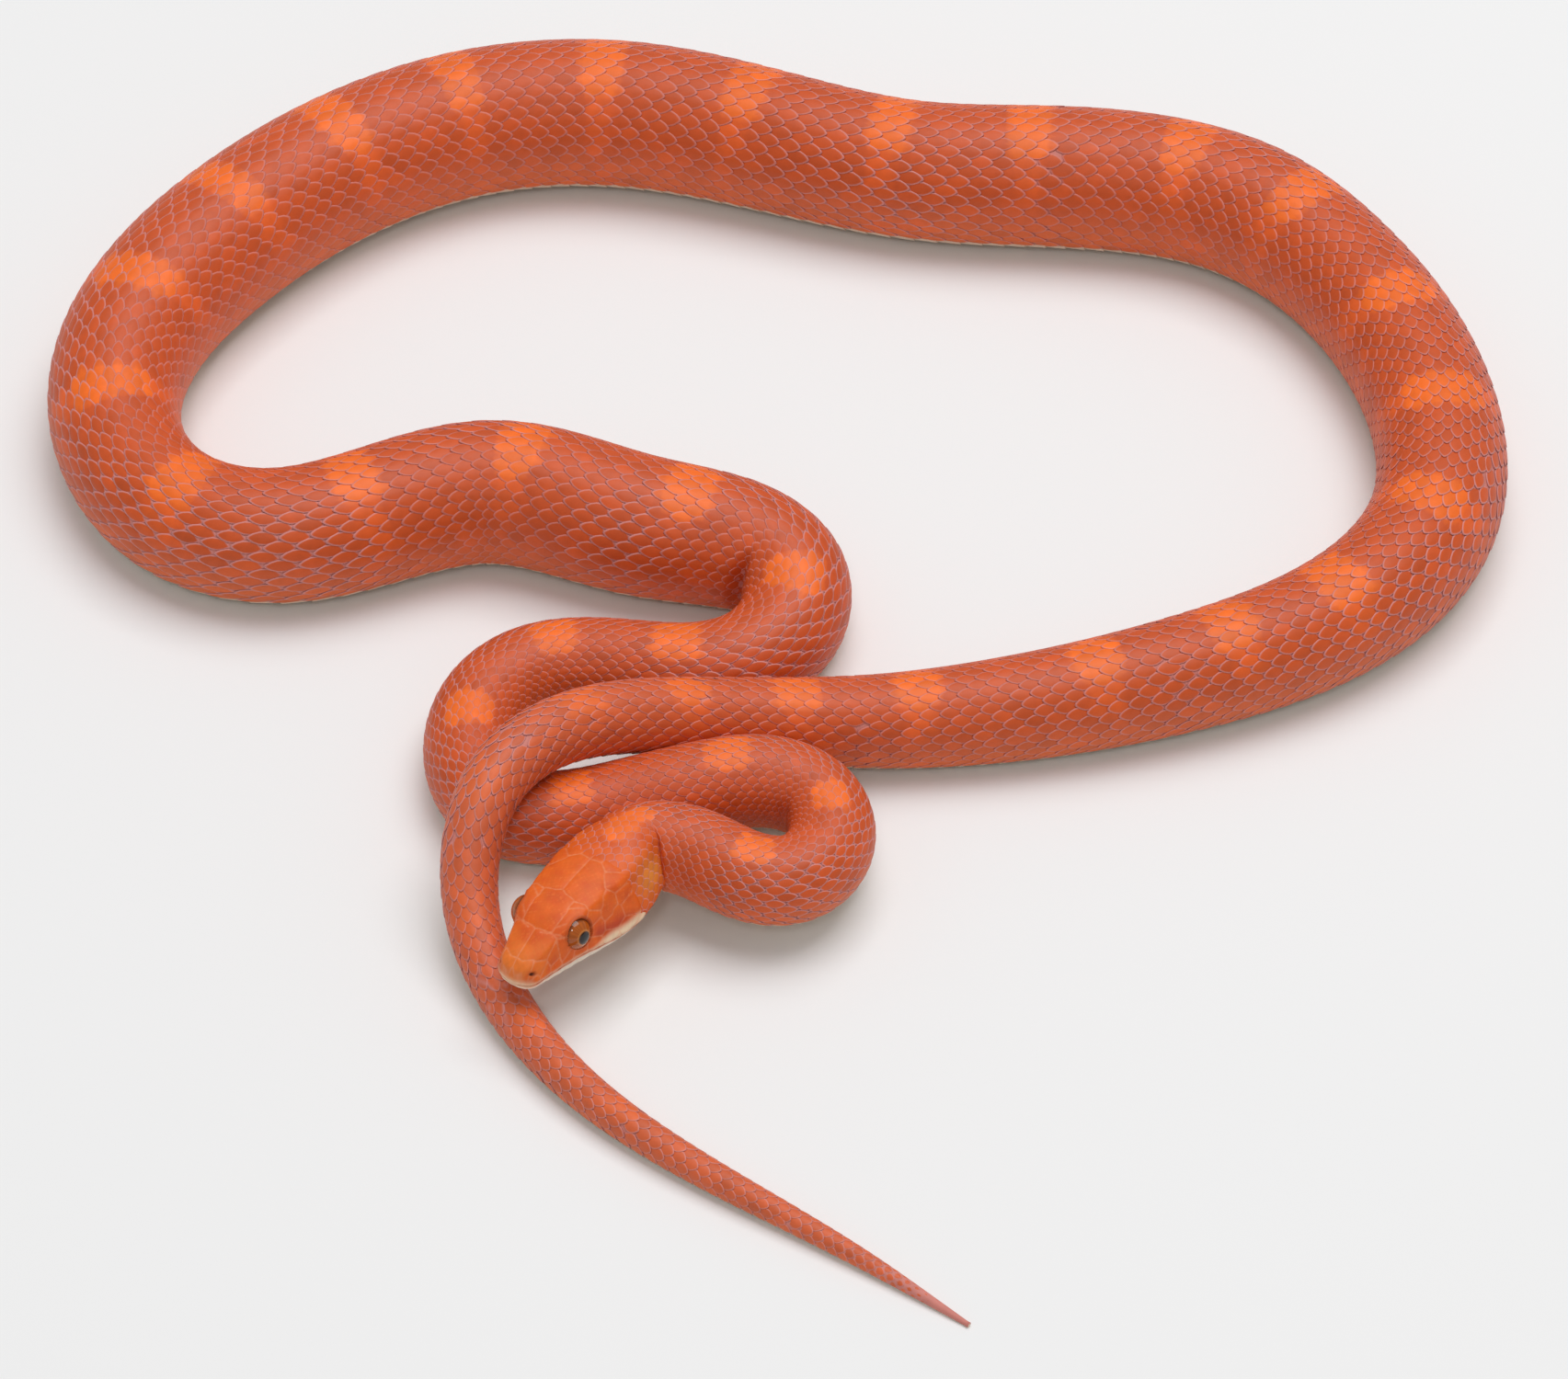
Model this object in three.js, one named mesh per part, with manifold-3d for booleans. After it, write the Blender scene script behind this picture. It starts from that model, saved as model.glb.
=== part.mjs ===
// A corn snake lying in loose loops on the floor, its neck folded back over
// itself and its snout on its own tail. Millimetres, +Z up, belly on Z = 0.
// The body is one long tube, parted into lengths that stand face to face.

import * as THREE from 'three';
import { mergeVertices } from 'three/addons/utils/BufferGeometryUtils.js';
import Module from 'manifold-3d';

const wasm = await Module();
wasm.setup();

// Colours and finish
const SKIN_ORANGE = 0xc0583a;
const TAIL_ORANGE = 0xbf6044;
const HEAD_ORANGE = 0xd06c38;
const CHIN_IVORY = 0xe9d3b4;
const EYE_AMBER = 0x7a3b14;
const SKIN_ROUGHNESS = 0.5;
const EYE_ROUGHNESS = 0.08;

// Gap between pieces that meet face to face
const GAP = 0.3;

// The belly lies this share of the radius below the spine's line, and is flat there
const BELLY = 0.86;
// A belly this close to the floor lies on it
const FLOOR_SNAP = 0.05;
// Corners round one section of the body
const SIDES = 20;
// Longest step between two sections, and the most that the body turns in one step
const LONGEST_STEP = 12;
const TURN_PER_STEP = THREE.MathUtils.degToRad(14);
// On the inside of a bend the flank is pressed flat where it would reach the bend's centre
const FLANK_FREE = 0.5;
const FLANK_MOST = 0.8;

// The spine's route seen from above, from the back of the head to the tip of the
// tail: x, y, and how high the belly is carried over the floor
const ROUTE = [
    // neck, turning back from the head
    [-29, -59.5, 7.1], [-25.6, -54.2, 7.3], [-16, -56.2, 6.9], [-7.5, -62, 5.6],
    // small right-hand loop, carried just clear of the floor
    [2.5, -63, 4.9], [10, -53.5, 4.5], [8, -40.5, 4.6], [-3, -35.5, 5], [-16, -37.5, 3.8],
    // strand that the tail crosses, and the left-hand loop
    [-28.5, -39, 0.9], [-41.5, -42.5, 0], [-54, -41, 0], [-60.5, -28, 0], [-59, -12, 0],
    [-49.5, -1.5, 0], [-35.5, -0.5, 0], [-20.5, -4, 0],
    // tight bend where the body thickens
    [-6.5, -2.5, 0], [3.5, 9.5, 0], [1.5, 25, 0], [-11.5, 30.5, 0], [-27.5, 32.5, 0],
    // wave to the left, and the far left bend
    [-42.5, 39.5, 0], [-59, 45, 0], [-77, 38.5, 0], [-99, 28, 0], [-124, 37, 0],
    [-138, 65, 0], [-133.5, 95, 0], [-117, 121, 0], [-96, 143.5, 0],
    // long back strand, and the far right bend
    [-68.5, 160, 0], [-36, 163.5, 0], [-4, 153.5, 0], [27.5, 141, 0], [62.5, 141.5, 0],
    [97.5, 135, 0], [121, 106.5, 0], [133, 70.5, 0], [131.5, 34.5, 0], [110, 8, 0],
    // hind body, coming back towards the small loops
    [78, -6, 0], [46, -14.5, 0], [14.5, -18, 0.4],
    // tail, climbing over the forebody and down again
    [-14, -20, 6.6], [-39.5, -28, 15.7], [-56, -46.5, 19.2], [-59.5, -64.5, 5],
    [-52, -83.5, 0], [-40, -101.5, 0], [-25, -115.5, 0], [-8, -127.5, 0], [11.5, -140, 0],
    [32, -155.5, 0],
];

// Radius of the body at distances along the spine from the back of the head
const GIRTH = [
    [0, 8.2], [12, 8.5], [50, 8.1], [100, 8.4], [145, 8.8], [187, 9.4], [216, 10.6],
    [230, 11.7], [245, 13.3], [262, 14.1], [285, 14.4], [320, 13.8], [375, 12.8],
    [418, 14.6], [450, 15.4], [540, 15.8], [610, 14.8], [645, 15.1], [680, 14.7],
    [715, 13.5], [785, 12.9], [850, 11.5], [885, 10.4], [918, 9], [947, 7.7], [975, 6.8],
    [1000, 6], [1020, 5.3], [1062, 4], [1104, 2.8], [1130, 1.8], [1152, 0.5],
];

// Where the lengths part, as distances along the spine
const NECK_CUTS = [0, 13, 32];
const BODY_CUTS = [
    32, 50, 68, 108, 130, 151, 172, 202, 223, 245, 285, 325, 350, 383, 416, 465, 520, 575,
    630, 680, 715, 750, 785, 815, 850, 900, 935, 960,
];
const TAIL_CUTS = [960, 982, 1004, 1026, 1060, 1100];

// Head: its length to the neck, and how far it leans. It faces along the neck's first line
const HEAD_LENGTH = 36;
const HEAD_ROLL = THREE.MathUtils.degToRad(6);
// Height of the neck's axis over the front end of the mouth line
const NECK_RISE = 0.6;

// Sections of the head at distances behind the snout: half width at the lips,
// half width at the brow, height of the crown, of the brow, half width of the
// chin and its height, all measured from the front end of the mouth line
const HEAD_SECTIONS = [
    [0.2, 1.7, 1.1, 1.9, 1.6, 1, -0.6],
    [0.9, 3, 2.2, 3, 2.6, 1.9, -1.3],
    [2.2, 4.1, 3.1, 4, 3.5, 2.7, -1.8],
    [4.5, 4.8, 3.7, 4.9, 4.3, 3.3, -2.2],
    [8, 5.7, 4.5, 6.2, 5.6, 4, -2.7],
    [12, 6.8, 5.8, 7.6, 7, 4.8, -3.2],
    [16, 8.1, 6.3, 8.3, 7.3, 5.5, -3.8],
    [21, 9.3, 6.9, 8.7, 7.1, 6.1, -4.6],
    [26, 9.8, 7.3, 8.7, 6.8, 6.4, -5.3],
    [30, 9.5, 7.2, 8.6, 6.6, 6.1, -5.8],
    [33.5, 8.7, 6.5, 8.7, 6.5, 5.3, -6.3],
    [HEAD_LENGTH, 8.2, 5.8, 8.8, 6.4, 4.2, -6.45],
];
const HEAD_RINGS = 26;

// Mouth line: distance behind the snout and height, ending at the corner of the jaw
const MOUTH_LINE = [[-2, 0], [0, 0], [5, 0.25], [11, 0.1], [17, -0.6], [22, -1.3], [27.5, -1.6]];
const LIP_STEP = 0.25;

// Eyes: a ball sunk in the side of the head
const EYE_BACK = 11.6;
const EYE_OUT = 4.6;
const EYE_UP = 4.4;
const EYE_RADIUS = 3.5;
// Nostrils: small pits high on the sides of the snout
const NOSTRIL_BACK = 2;
const NOSTRIL_OUT = 3.9;
const NOSTRIL_UP = 2.3;
const NOSTRIL_RADIUS = 0.55;

const up = new THREE.Vector3(0, 0, 1);

// Smooth curve near its control points, passing through the first and the last
function uniformSpline(points, t) {
    const last = points.length - 1;
    const span = Math.min(Math.floor(t), last - 1);
    const f = t - span;
    const weights = [
        (1 - f) ** 3 / 6,
        (3 * f ** 3 - 6 * f ** 2 + 4) / 6,
        (-3 * f ** 3 + 3 * f ** 2 + 3 * f + 1) / 6,
        f ** 3 / 6,
    ];
    const at = (i) => {
        if (i < 0) return points[0].clone().multiplyScalar(2).sub(points[1]);
        if (i > last) return points[last].clone().multiplyScalar(2).sub(points[last - 1]);
        return points[i];
    };
    const sum = new THREE.Vector3();
    weights.forEach((w, k) => sum.addScaledVector(at(span - 1 + k), w));
    return sum;
}

// Monotone smooth value through a list of [place, value, ...] rows
function interpolate(rows, place, column = 1) {
    const n = rows.length;
    if (place <= rows[0][0]) return rows[0][column];
    if (place >= rows[n - 1][0]) return rows[n - 1][column];
    let i = 0;
    while (rows[i + 1][0] < place) i += 1;
    const slope = (k) => (rows[k + 1][column] - rows[k][column]) / (rows[k + 1][0] - rows[k][0]);
    const knotSlope = (k) => {
        if (k === 0) return slope(0);
        if (k === n - 1) return slope(n - 2);
        const before = slope(k - 1);
        const after = slope(k);
        return before * after <= 0 ? 0 : 2 * before * after / (before + after);
    };
    const width = rows[i + 1][0] - rows[i][0];
    const t = (place - rows[i][0]) / width;
    return (1 + 2 * t) * (1 - t) ** 2 * rows[i][column]
        + t * (1 - t) ** 2 * width * knotSlope(i)
        + t * t * (3 - 2 * t) * rows[i + 1][column]
        - t * t * (1 - t) * width * knotSlope(i + 1);
}

// The spine as closely spaced points with the distance reached at each
const SPINE_STEPS = 6000;
const routePoints = ROUTE.map(([x, y, lift]) => new THREE.Vector3(x, y, lift));
const spine = [];
for (let i = 0; i <= SPINE_STEPS; i += 1) {
    const point = uniformSpline(routePoints, i / SPINE_STEPS * (routePoints.length - 1));
    const before = spine[i - 1];
    spine.push({ point, distance: before ? before.distance + point.distanceTo(before.point) : 0 });
}
const SPINE_LENGTH = spine[SPINE_STEPS].distance;

function spinePoint(distance) {
    let low = 0;
    let high = SPINE_STEPS;
    while (high - low > 1) {
        const middle = (low + high) >> 1;
        if (spine[middle].distance <= distance) low = middle;
        else high = middle;
    }
    const share = (distance - spine[low].distance) / (spine[high].distance - spine[low].distance);
    const point = spine[low].point.clone().lerp(spine[high].point, share);
    point.z += BELLY * interpolate(GIRTH, distance);
    return point;
}

// Centre, forward, side and up directions, radius and sideways bend at a distance
function station(distance) {
    const step = 0.5;
    const centre = spinePoint(distance);
    const direction = (d) => spinePoint(d + step).sub(spinePoint(d - step)).normalize();
    const forward = direction(distance);
    const side = up.clone().cross(forward).normalize();
    const above = forward.clone().cross(side);
    const reach = 3;
    const turn = direction(distance + reach).sub(direction(distance - reach));
    return {
        centre, forward, side, above,
        radius: interpolate(GIRTH, distance),
        bend: turn.dot(side) / (2 * reach),
    };
}

// Sideways offset that stays short of the centre of the bend
function pressed(offset, bend) {
    const share = offset * bend;
    if (share <= FLANK_FREE) return offset;
    const room = FLANK_MOST - FLANK_FREE;
    return (FLANK_FREE + room * (1 - Math.exp(-(share - FLANK_FREE) / room))) / bend;
}

function ringPoint(ring, angle, reach) {
    const across = pressed(ring.radius * Math.sin(angle) * reach, ring.bend);
    const height = Math.max(ring.radius * Math.cos(angle), -BELLY * ring.radius) * reach;
    const point = ring.centre.clone()
        .addScaledVector(ring.side, across)
        .addScaledVector(ring.above, height);
    if (Math.abs(point.z) < FLOOR_SNAP) point.z = 0;
    return point;
}

// A capped cylinder whose rows of vertices are laid on the given rings
function tubeOnRings(rings, sides, place) {
    const tube = new THREE.CylinderGeometry(1, 1, 1, sides, rings.length - 1);
    const position = tube.attributes.position;
    for (let i = 0; i < position.count; i += 1) {
        const x = position.getX(i);
        const z = position.getZ(i);
        const row = Math.round((0.5 - position.getY(i)) * (rings.length - 1));
        const point = place(rings[row], Math.atan2(x, z), Math.min(1, Math.hypot(x, z)), row);
        position.setXYZ(i, point.x, point.y, point.z);
    }
    return closed(tube);
}

function signedVolume(geometry) {
    const p = geometry.attributes.position;
    const corner = (i) => new THREE.Vector3().fromBufferAttribute(p, geometry.index.getX(i));
    let volume = 0;
    for (let i = 0; i < geometry.index.count; i += 3) {
        volume += corner(i).dot(corner(i + 1).cross(corner(i + 2))) / 6;
    }
    return volume;
}

// Vertices joined where they meet, and faces turned outwards
function closed(geometry) {
    geometry.deleteAttribute('normal');
    geometry.deleteAttribute('uv');
    const merged = mergeVertices(geometry, 1e-4);
    if (signedVolume(merged) < 0) {
        const index = merged.index;
        for (let i = 0; i < index.count; i += 3) {
            const kept = index.getX(i);
            index.setX(i, index.getX(i + 1));
            index.setX(i + 1, kept);
        }
    }
    return merged;
}

function toSolid(geometry) {
    return new wasm.Manifold(new wasm.Mesh({
        numProp: 3,
        vertProperties: new Float32Array(geometry.attributes.position.array),
        triVerts: new Uint32Array(geometry.index.array),
    }));
}

function fromSolid(solid) {
    const pieces = solid.decompose();
    pieces.sort((a, b) => b.volume() - a.volume());
    const mesh = pieces[0].getMesh();
    const geometry = new THREE.BufferGeometry();
    geometry.setAttribute('position', new THREE.BufferAttribute(mesh.vertProperties, 3));
    geometry.setIndex(new THREE.BufferAttribute(mesh.triVerts, 1));
    return geometry;
}

function skin(colour) {
    return new THREE.MeshStandardMaterial({ color: colour, roughness: SKIN_ROUGHNESS, metalness: 0 });
}

function named(name, geometry, material) {
    const mesh = new THREE.Mesh(geometry, material);
    mesh.name = name;
    return mesh;
}

// One length of the body, its end faces square to the spine and half a gap short
function bodyLength(name, from, to, colour) {
    let turning = 0;
    for (let d = from; d < to; d += 1) turning += Math.abs(station(d + 0.5).bend);
    const steps = Math.ceil(Math.max((to - from) / LONGEST_STEP, turning / TURN_PER_STEP));
    const rings = [];
    for (let i = 0; i <= steps; i += 1) {
        const ring = station(from + (to - from) * i / steps);
        if (i === 0) ring.centre.addScaledVector(ring.forward, GAP / 2);
        if (i === steps) ring.centre.addScaledVector(ring.forward, -GAP / 2);
        rings.push(ring);
    }
    return named(name, tubeOnRings(rings, SIDES, ringPoint), skin(colour));
}

// The last length of the tail, which narrows to a fine tip
function tailTip(name, from, colour) {
    const steps = 7;
    const rings = [];
    for (let i = 0; i <= steps; i += 1) {
        const ring = station(from + (SPINE_LENGTH - 1 - from) * i / steps);
        if (i === 0) ring.centre.addScaledVector(ring.forward, GAP / 2);
        rings.push(ring);
    }
    return named(name, tubeOnRings(rings, SIDES, ringPoint), skin(colour));
}

function lengths(stem, cuts, colour) {
    return cuts.slice(1).map((to, i) => {
        const name = `${stem}_${String(i + 1).padStart(2, '0')}`;
        return bodyLength(name, cuts[i], to, colour);
    });
}

// Half outline of one section of the head, from the crown down to the chin
function headSection(back) {
    const value = (column) => interpolate(HEAD_SECTIONS, back, column);
    const [lip, brow, crown, browUp, chin, chinUp] = [1, 2, 3, 4, 5, 6].map(value);
    const mouth = interpolate(MOUTH_LINE, back);
    const cheekUp = (browUp + mouth) / 2 + 0.4;
    const cheek = (brow + lip) / 2 + 0.1;
    return [
        [0, crown],
        [brow * 0.5, crown - (crown - browUp) * 0.15],
        [brow * 0.85, crown - (crown - browUp) * 0.6],
        [brow, browUp - 0.2],
        [cheek, cheekUp],
        [lip, mouth + 1],
        [lip - 0.1, mouth + 0.1],
        [lip - LIP_STEP - 0.1, mouth - 0.4],
        [(lip + chin) / 2, mouth + (chinUp - mouth) * 0.6],
        [chin, chinUp + 0.3],
        [chin * 0.5, chinUp],
        [0, chinUp],
    ];
}

function headSolid() {
    const rings = [];
    for (let i = 0; i <= HEAD_RINGS; i += 1) {
        const share = i / HEAD_RINGS;
        rings.push({ back: 0.2 + (HEAD_LENGTH - 0.2) * share ** 1.4 });
    }
    const half = headSection(1).length - 1;
    const sides = half * 2;
    const place = (ring, angle, reach, row) => {
        const step = Math.round((angle < 0 ? angle + 2 * Math.PI : angle) / (2 * Math.PI) * sides) % sides;
        const section = headSection(ring.back);
        const left = step <= half;
        const [out, height] = section[left ? step : sides - step];
        if (reach < 0.5) return new THREE.Vector3(row === 0 ? 0 : -ring.back, 0, 0.6);
        return new THREE.Vector3(-ring.back, left ? out : -out, height);
    };
    return toSolid(tubeOnRings(rings, sides, place));
}

// Block that takes the lower jaw: all that lies under the mouth line, drawn in
// from the side and as deep as the head is wide
function underMouth(inset) {
    const depth = 40;
    const shape = new THREE.Shape();
    MOUTH_LINE.forEach(([back, height], i) => {
        const atCorner = i === MOUTH_LINE.length - 1;
        const x = -back + (atCorner ? inset : 0);
        if (i === 0) shape.moveTo(x, height - inset);
        else shape.lineTo(x, height - inset);
    });
    const corner = MOUTH_LINE[MOUTH_LINE.length - 1];
    shape.lineTo(-corner[0] + inset, -depth / 2);
    shape.lineTo(-MOUTH_LINE[0][0], -depth / 2);
    const block = new THREE.ExtrudeGeometry(shape, { depth, bevelEnabled: false });
    block.translate(0, 0, -depth / 2);
    block.rotateX(Math.PI / 2);
    return toSolid(closed(block));
}

function ball(radius, x, y, z, detail) {
    const sphere = new THREE.SphereGeometry(radius, detail, detail / 2);
    sphere.translate(x, y, z);
    return closed(sphere);
}

function buildHead() {
    const whole = headSolid();
    let skull = whole.subtract(underMouth(0));
    for (const side of [1, -1]) {
        const socket = ball(EYE_RADIUS + GAP, -EYE_BACK, side * EYE_OUT, EYE_UP, 24);
        const nostril = ball(NOSTRIL_RADIUS, -NOSTRIL_BACK, side * NOSTRIL_OUT, NOSTRIL_UP, 8);
        skull = skull.subtract(toSolid(socket)).subtract(toSolid(nostril));
    }
    const jaw = whole.intersect(underMouth(GAP));
    const eye = (side) => ball(EYE_RADIUS, -EYE_BACK, side * EYE_OUT, EYE_UP, 24);
    const eyeFinish = new THREE.MeshStandardMaterial({
        color: EYE_AMBER, roughness: EYE_ROUGHNESS, metalness: 0,
    });
    const head = new THREE.Group();
    head.add(named('head', fromSolid(skull), skin(HEAD_ORANGE)));
    head.add(named('lower_jaw', fromSolid(jaw), skin(CHIN_IVORY)));
    head.add(named('eye_left', eye(1), eyeFinish));
    head.add(named('eye_right', eye(-1), eyeFinish));

    // The back of the head meets the first ring of the neck
    const neck = station(0);
    const yaw = Math.atan2(-neck.forward.y, -neck.forward.x);
    head.rotation.set(HEAD_ROLL, Math.asin(neck.forward.z), yaw, 'ZYX');
    const neckEnd = new THREE.Vector3(-HEAD_LENGTH - GAP / 2, 0, NECK_RISE).applyEuler(head.rotation);
    head.position.copy(neck.centre).sub(neckEnd);
    return head;
}

const snake = new THREE.Group();
snake.add(buildHead());
snake.add(...lengths('neck', NECK_CUTS, SKIN_ORANGE));
snake.add(...lengths('body', BODY_CUTS, SKIN_ORANGE));
snake.add(...lengths('tail', TAIL_CUTS, TAIL_ORANGE));
snake.add(tailTip('tail_tip', TAIL_CUTS[TAIL_CUTS.length - 1], TAIL_ORANGE));

// The origin is on the floor, under the middle of the whole animal
const group = new THREE.Group();
group.add(snake);
const box = new THREE.Box3().setFromObject(snake);
const middle = box.getCenter(new THREE.Vector3());
snake.position.set(-middle.x, -middle.y, 0);

export default group;
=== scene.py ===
"""A corn snake lying in loose loops, dressed with skin, scales, head shields and eyes.

Lengths are written in millimetres and turned into metres by mm, the frame's unit.
Distances along the spine count from the back of the head, and run negative over
the head to the snout. Angles round the body count from the middle of the back.
"""

import math

import bpy
import numpy as np
from mathutils import Matrix, Vector


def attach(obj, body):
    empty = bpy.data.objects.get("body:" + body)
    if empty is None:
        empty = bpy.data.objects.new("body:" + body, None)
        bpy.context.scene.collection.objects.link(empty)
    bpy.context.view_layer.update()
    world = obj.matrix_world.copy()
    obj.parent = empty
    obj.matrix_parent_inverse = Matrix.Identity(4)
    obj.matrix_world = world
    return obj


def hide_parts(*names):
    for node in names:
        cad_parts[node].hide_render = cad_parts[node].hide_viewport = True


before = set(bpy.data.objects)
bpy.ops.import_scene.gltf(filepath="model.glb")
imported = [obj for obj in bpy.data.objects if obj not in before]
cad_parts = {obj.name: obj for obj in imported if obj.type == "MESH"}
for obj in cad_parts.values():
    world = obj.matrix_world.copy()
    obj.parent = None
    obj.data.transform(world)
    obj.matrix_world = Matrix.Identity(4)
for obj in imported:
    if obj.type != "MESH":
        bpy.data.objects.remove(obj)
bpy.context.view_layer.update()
mm = 0.001


# Camera: level with no roll, looking down at the floor under the middle of the
# photo, which lies a little off the middle of the animal.
VIEW_MIDDLE = Vector((2.151, -10.957, 0)) * mm
VIEW_HEIGHT_ANGLE = math.radians(45)
VIEW_DISTANCE = 982 * mm
LENS_LENGTH = 116.1
SENSOR_WIDTH = 36
NEAREST_SEEN = 10 * mm

camera_data = bpy.data.cameras.new("camera")
camera_data.lens = LENS_LENGTH
camera_data.sensor_width = SENSOR_WIDTH
camera_data.clip_start = NEAREST_SEEN
camera = bpy.data.objects.new("camera", camera_data)
bpy.context.scene.collection.objects.link(camera)
camera.location = VIEW_MIDDLE + VIEW_DISTANCE * Vector(
    (0, -math.cos(VIEW_HEIGHT_ANGLE), math.sin(VIEW_HEIGHT_ANGLE))
)
camera.rotation_euler = (math.pi / 2 - VIEW_HEIGHT_ANGLE, 0, 0)
bpy.context.scene.camera = camera


# Floor and light: a matt white table under one wide soft box from above and
# behind, with a dim fill from the front, in a bright room.
FLOOR_REACH = 3000 * mm
FLOOR_DROP = 0.02 * mm
ROOM_BRIGHTNESS = 0.36


def linear(red, green, blue):
    """A colour as seen on a screen, 0 to 255, in the renderer's own scale."""
    return tuple((c / 255) ** 2.2 for c in (red, green, blue))


def material_with_shader(name, roughness, specular):
    """A new material and its main shader."""
    material = bpy.data.materials.new(name)
    material.use_nodes = True
    shader = material.node_tree.nodes["Principled BSDF"]
    shader.inputs["Roughness"].default_value = roughness
    shader.inputs["Specular IOR Level"].default_value = specular
    return material, shader


def mesh_piece(name, points, faces, material=None):
    """A smooth-shaded mesh object from points in metres."""
    mesh = bpy.data.meshes.new(name)
    mesh.from_pydata(np.asarray(points).tolist(), [], faces)
    mesh.shade_smooth()
    if material:
        mesh.materials.append(material)
    piece = bpy.data.objects.new(name, mesh)
    bpy.context.scene.collection.objects.link(piece)
    return piece


floor_material, floor_shader = material_with_shader("floor_white", roughness=0.8, specular=0.2)
floor_shader.inputs["Base Color"].default_value = (*linear(240, 240, 240), 1)
floor_corners = [
    (x * FLOOR_REACH, y * FLOOR_REACH, -FLOOR_DROP) for x, y in ((-1, -1), (1, -1), (1, 1), (-1, 1))]
floor = mesh_piece("floor", floor_corners, [(0, 1, 2, 3)], floor_material)

world = bpy.data.worlds.new("room")
world.use_nodes = True
world.node_tree.nodes["Background"].inputs["Color"].default_value = (1, 1, 1, 1)
world.node_tree.nodes["Background"].inputs["Strength"].default_value = ROOM_BRIGHTNESS
bpy.context.scene.world = world


def soft_box(name, place, size, power):
    """A square lamp aimed at the middle of the floor, its place and size in metres."""
    light_data = bpy.data.lights.new(name, "AREA")
    light_data.shape = "SQUARE"
    light_data.size = size
    light_data.energy = power
    light = bpy.data.objects.new(name, light_data)
    bpy.context.scene.collection.objects.link(light)
    light.location = place
    light.rotation_euler = (-Vector(place)).to_track_quat("-Z", "Y").to_euler()


soft_box("top_box", place=(0.35, 0.5, 2.4), size=2, power=44)
soft_box("front_fill", place=(-0.2, -1.6, 2), size=0.35, power=5)
bpy.context.scene.view_settings.view_transform = "Standard"


# Spine: the route of the backbone from the back of the head to the tip of the
# tail, with the girth along it. Skin, scales and scutes are all laid on it.
ROUTE_MIDDLE = np.array([2.151, -10.957, 0])
SPINE_OVER_BELLY = 0.86
ROUTE_STEPS = 6001
SPINE_STEP = 0.5
BEND_REACH = 3
# Rows of across, deep and the belly's height over the floor
ROUTE = np.array([
    # neck, turning back from the head
    [-29, -59.5, 7.1], [-25.6, -54.2, 7.3], [-16, -56.2, 6.9], [-7.5, -62, 5.6],
    # small right-hand loop, carried just clear of the floor
    [2.5, -63, 4.9], [10, -53.5, 4.5], [8, -40.5, 4.6], [-3, -35.5, 5], [-16, -37.5, 3.8],
    # strand that the tail crosses, and the left-hand loop
    [-28.5, -39, 0.9], [-41.5, -42.5, 0], [-54, -41, 0], [-60.5, -28, 0], [-59, -12, 0],
    [-49.5, -1.5, 0], [-35.5, -0.5, 0], [-20.5, -4, 0],
    # tight bend where the body thickens
    [-6.5, -2.5, 0], [3.5, 9.5, 0], [1.5, 25, 0], [-11.5, 30.5, 0], [-27.5, 32.5, 0],
    # wave to the left, and the far left bend
    [-42.5, 39.5, 0], [-59, 45, 0], [-77, 38.5, 0], [-99, 28, 0], [-124, 37, 0],
    [-138, 65, 0], [-133.5, 95, 0], [-117, 121, 0], [-96, 143.5, 0],
    # long back strand, and the far right bend
    [-68.5, 160, 0], [-36, 163.5, 0], [-4, 153.5, 0], [27.5, 141, 0], [62.5, 141.5, 0],
    [97.5, 135, 0], [121, 106.5, 0], [133, 70.5, 0], [131.5, 34.5, 0], [110, 8, 0],
    # hind body, coming back towards the small loops
    [78, -6, 0], [46, -14.5, 0], [14.5, -18, 0.4],
    # tail, climbing over the forebody and down again
    [-14, -20, 6.6], [-39.5, -28, 15.7], [-56, -46.5, 19.2], [-59.5, -64.5, 5],
    [-52, -83.5, 0], [-40, -101.5, 0], [-25, -115.5, 0], [-8, -127.5, 0], [11.5, -140, 0],
    [32, -155.5, 0],
])
# Rows of distance along the spine and radius
GIRTH = np.array([
    [0, 8.2], [12, 8.5], [50, 8.3], [75, 8.9], [105, 8.9], [145, 9], [187, 9.4], [216, 10.6],
    [230, 11.7], [245, 13.3], [262, 14.1], [285, 14.4], [320, 13.8], [375, 12.8],
    [418, 14.6], [450, 15.4], [540, 15.8], [610, 14.8], [645, 15.1], [680, 14.7],
    [715, 13.5], [785, 12.9], [850, 11.5], [885, 10.4], [918, 9], [947, 7.7], [975, 6.8],
    [1000, 6], [1020, 5.3], [1062, 4], [1104, 2.8], [1130, 1.8], [1152, 0.5],
])


def smooth_rows(rows, places):
    """Monotone smooth values through rows of (place, value)."""
    x, y = rows[:, 0], rows[:, 1]
    slope = np.diff(y) / np.diff(x)
    knot = np.empty(len(x))
    knot[0], knot[-1] = slope[0], slope[-1]
    before, after = slope[:-1], slope[1:]
    both = before * after
    total = np.where(before + after == 0, 1, before + after)
    knot[1:-1] = np.where(both > 0, 2 * both / total, 0)
    places = np.clip(places, x[0], x[-1])
    i = np.clip(np.searchsorted(x, places, side="right") - 1, 0, len(x) - 2)
    width = x[i + 1] - x[i]
    t = (places - x[i]) / width
    return (
        (1 + 2 * t) * (1 - t) ** 2 * y[i]
        + t * (1 - t) ** 2 * width * knot[i]
        + t * t * (3 - 2 * t) * y[i + 1]
        - t * t * (1 - t) * width * knot[i + 1]
    )


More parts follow.
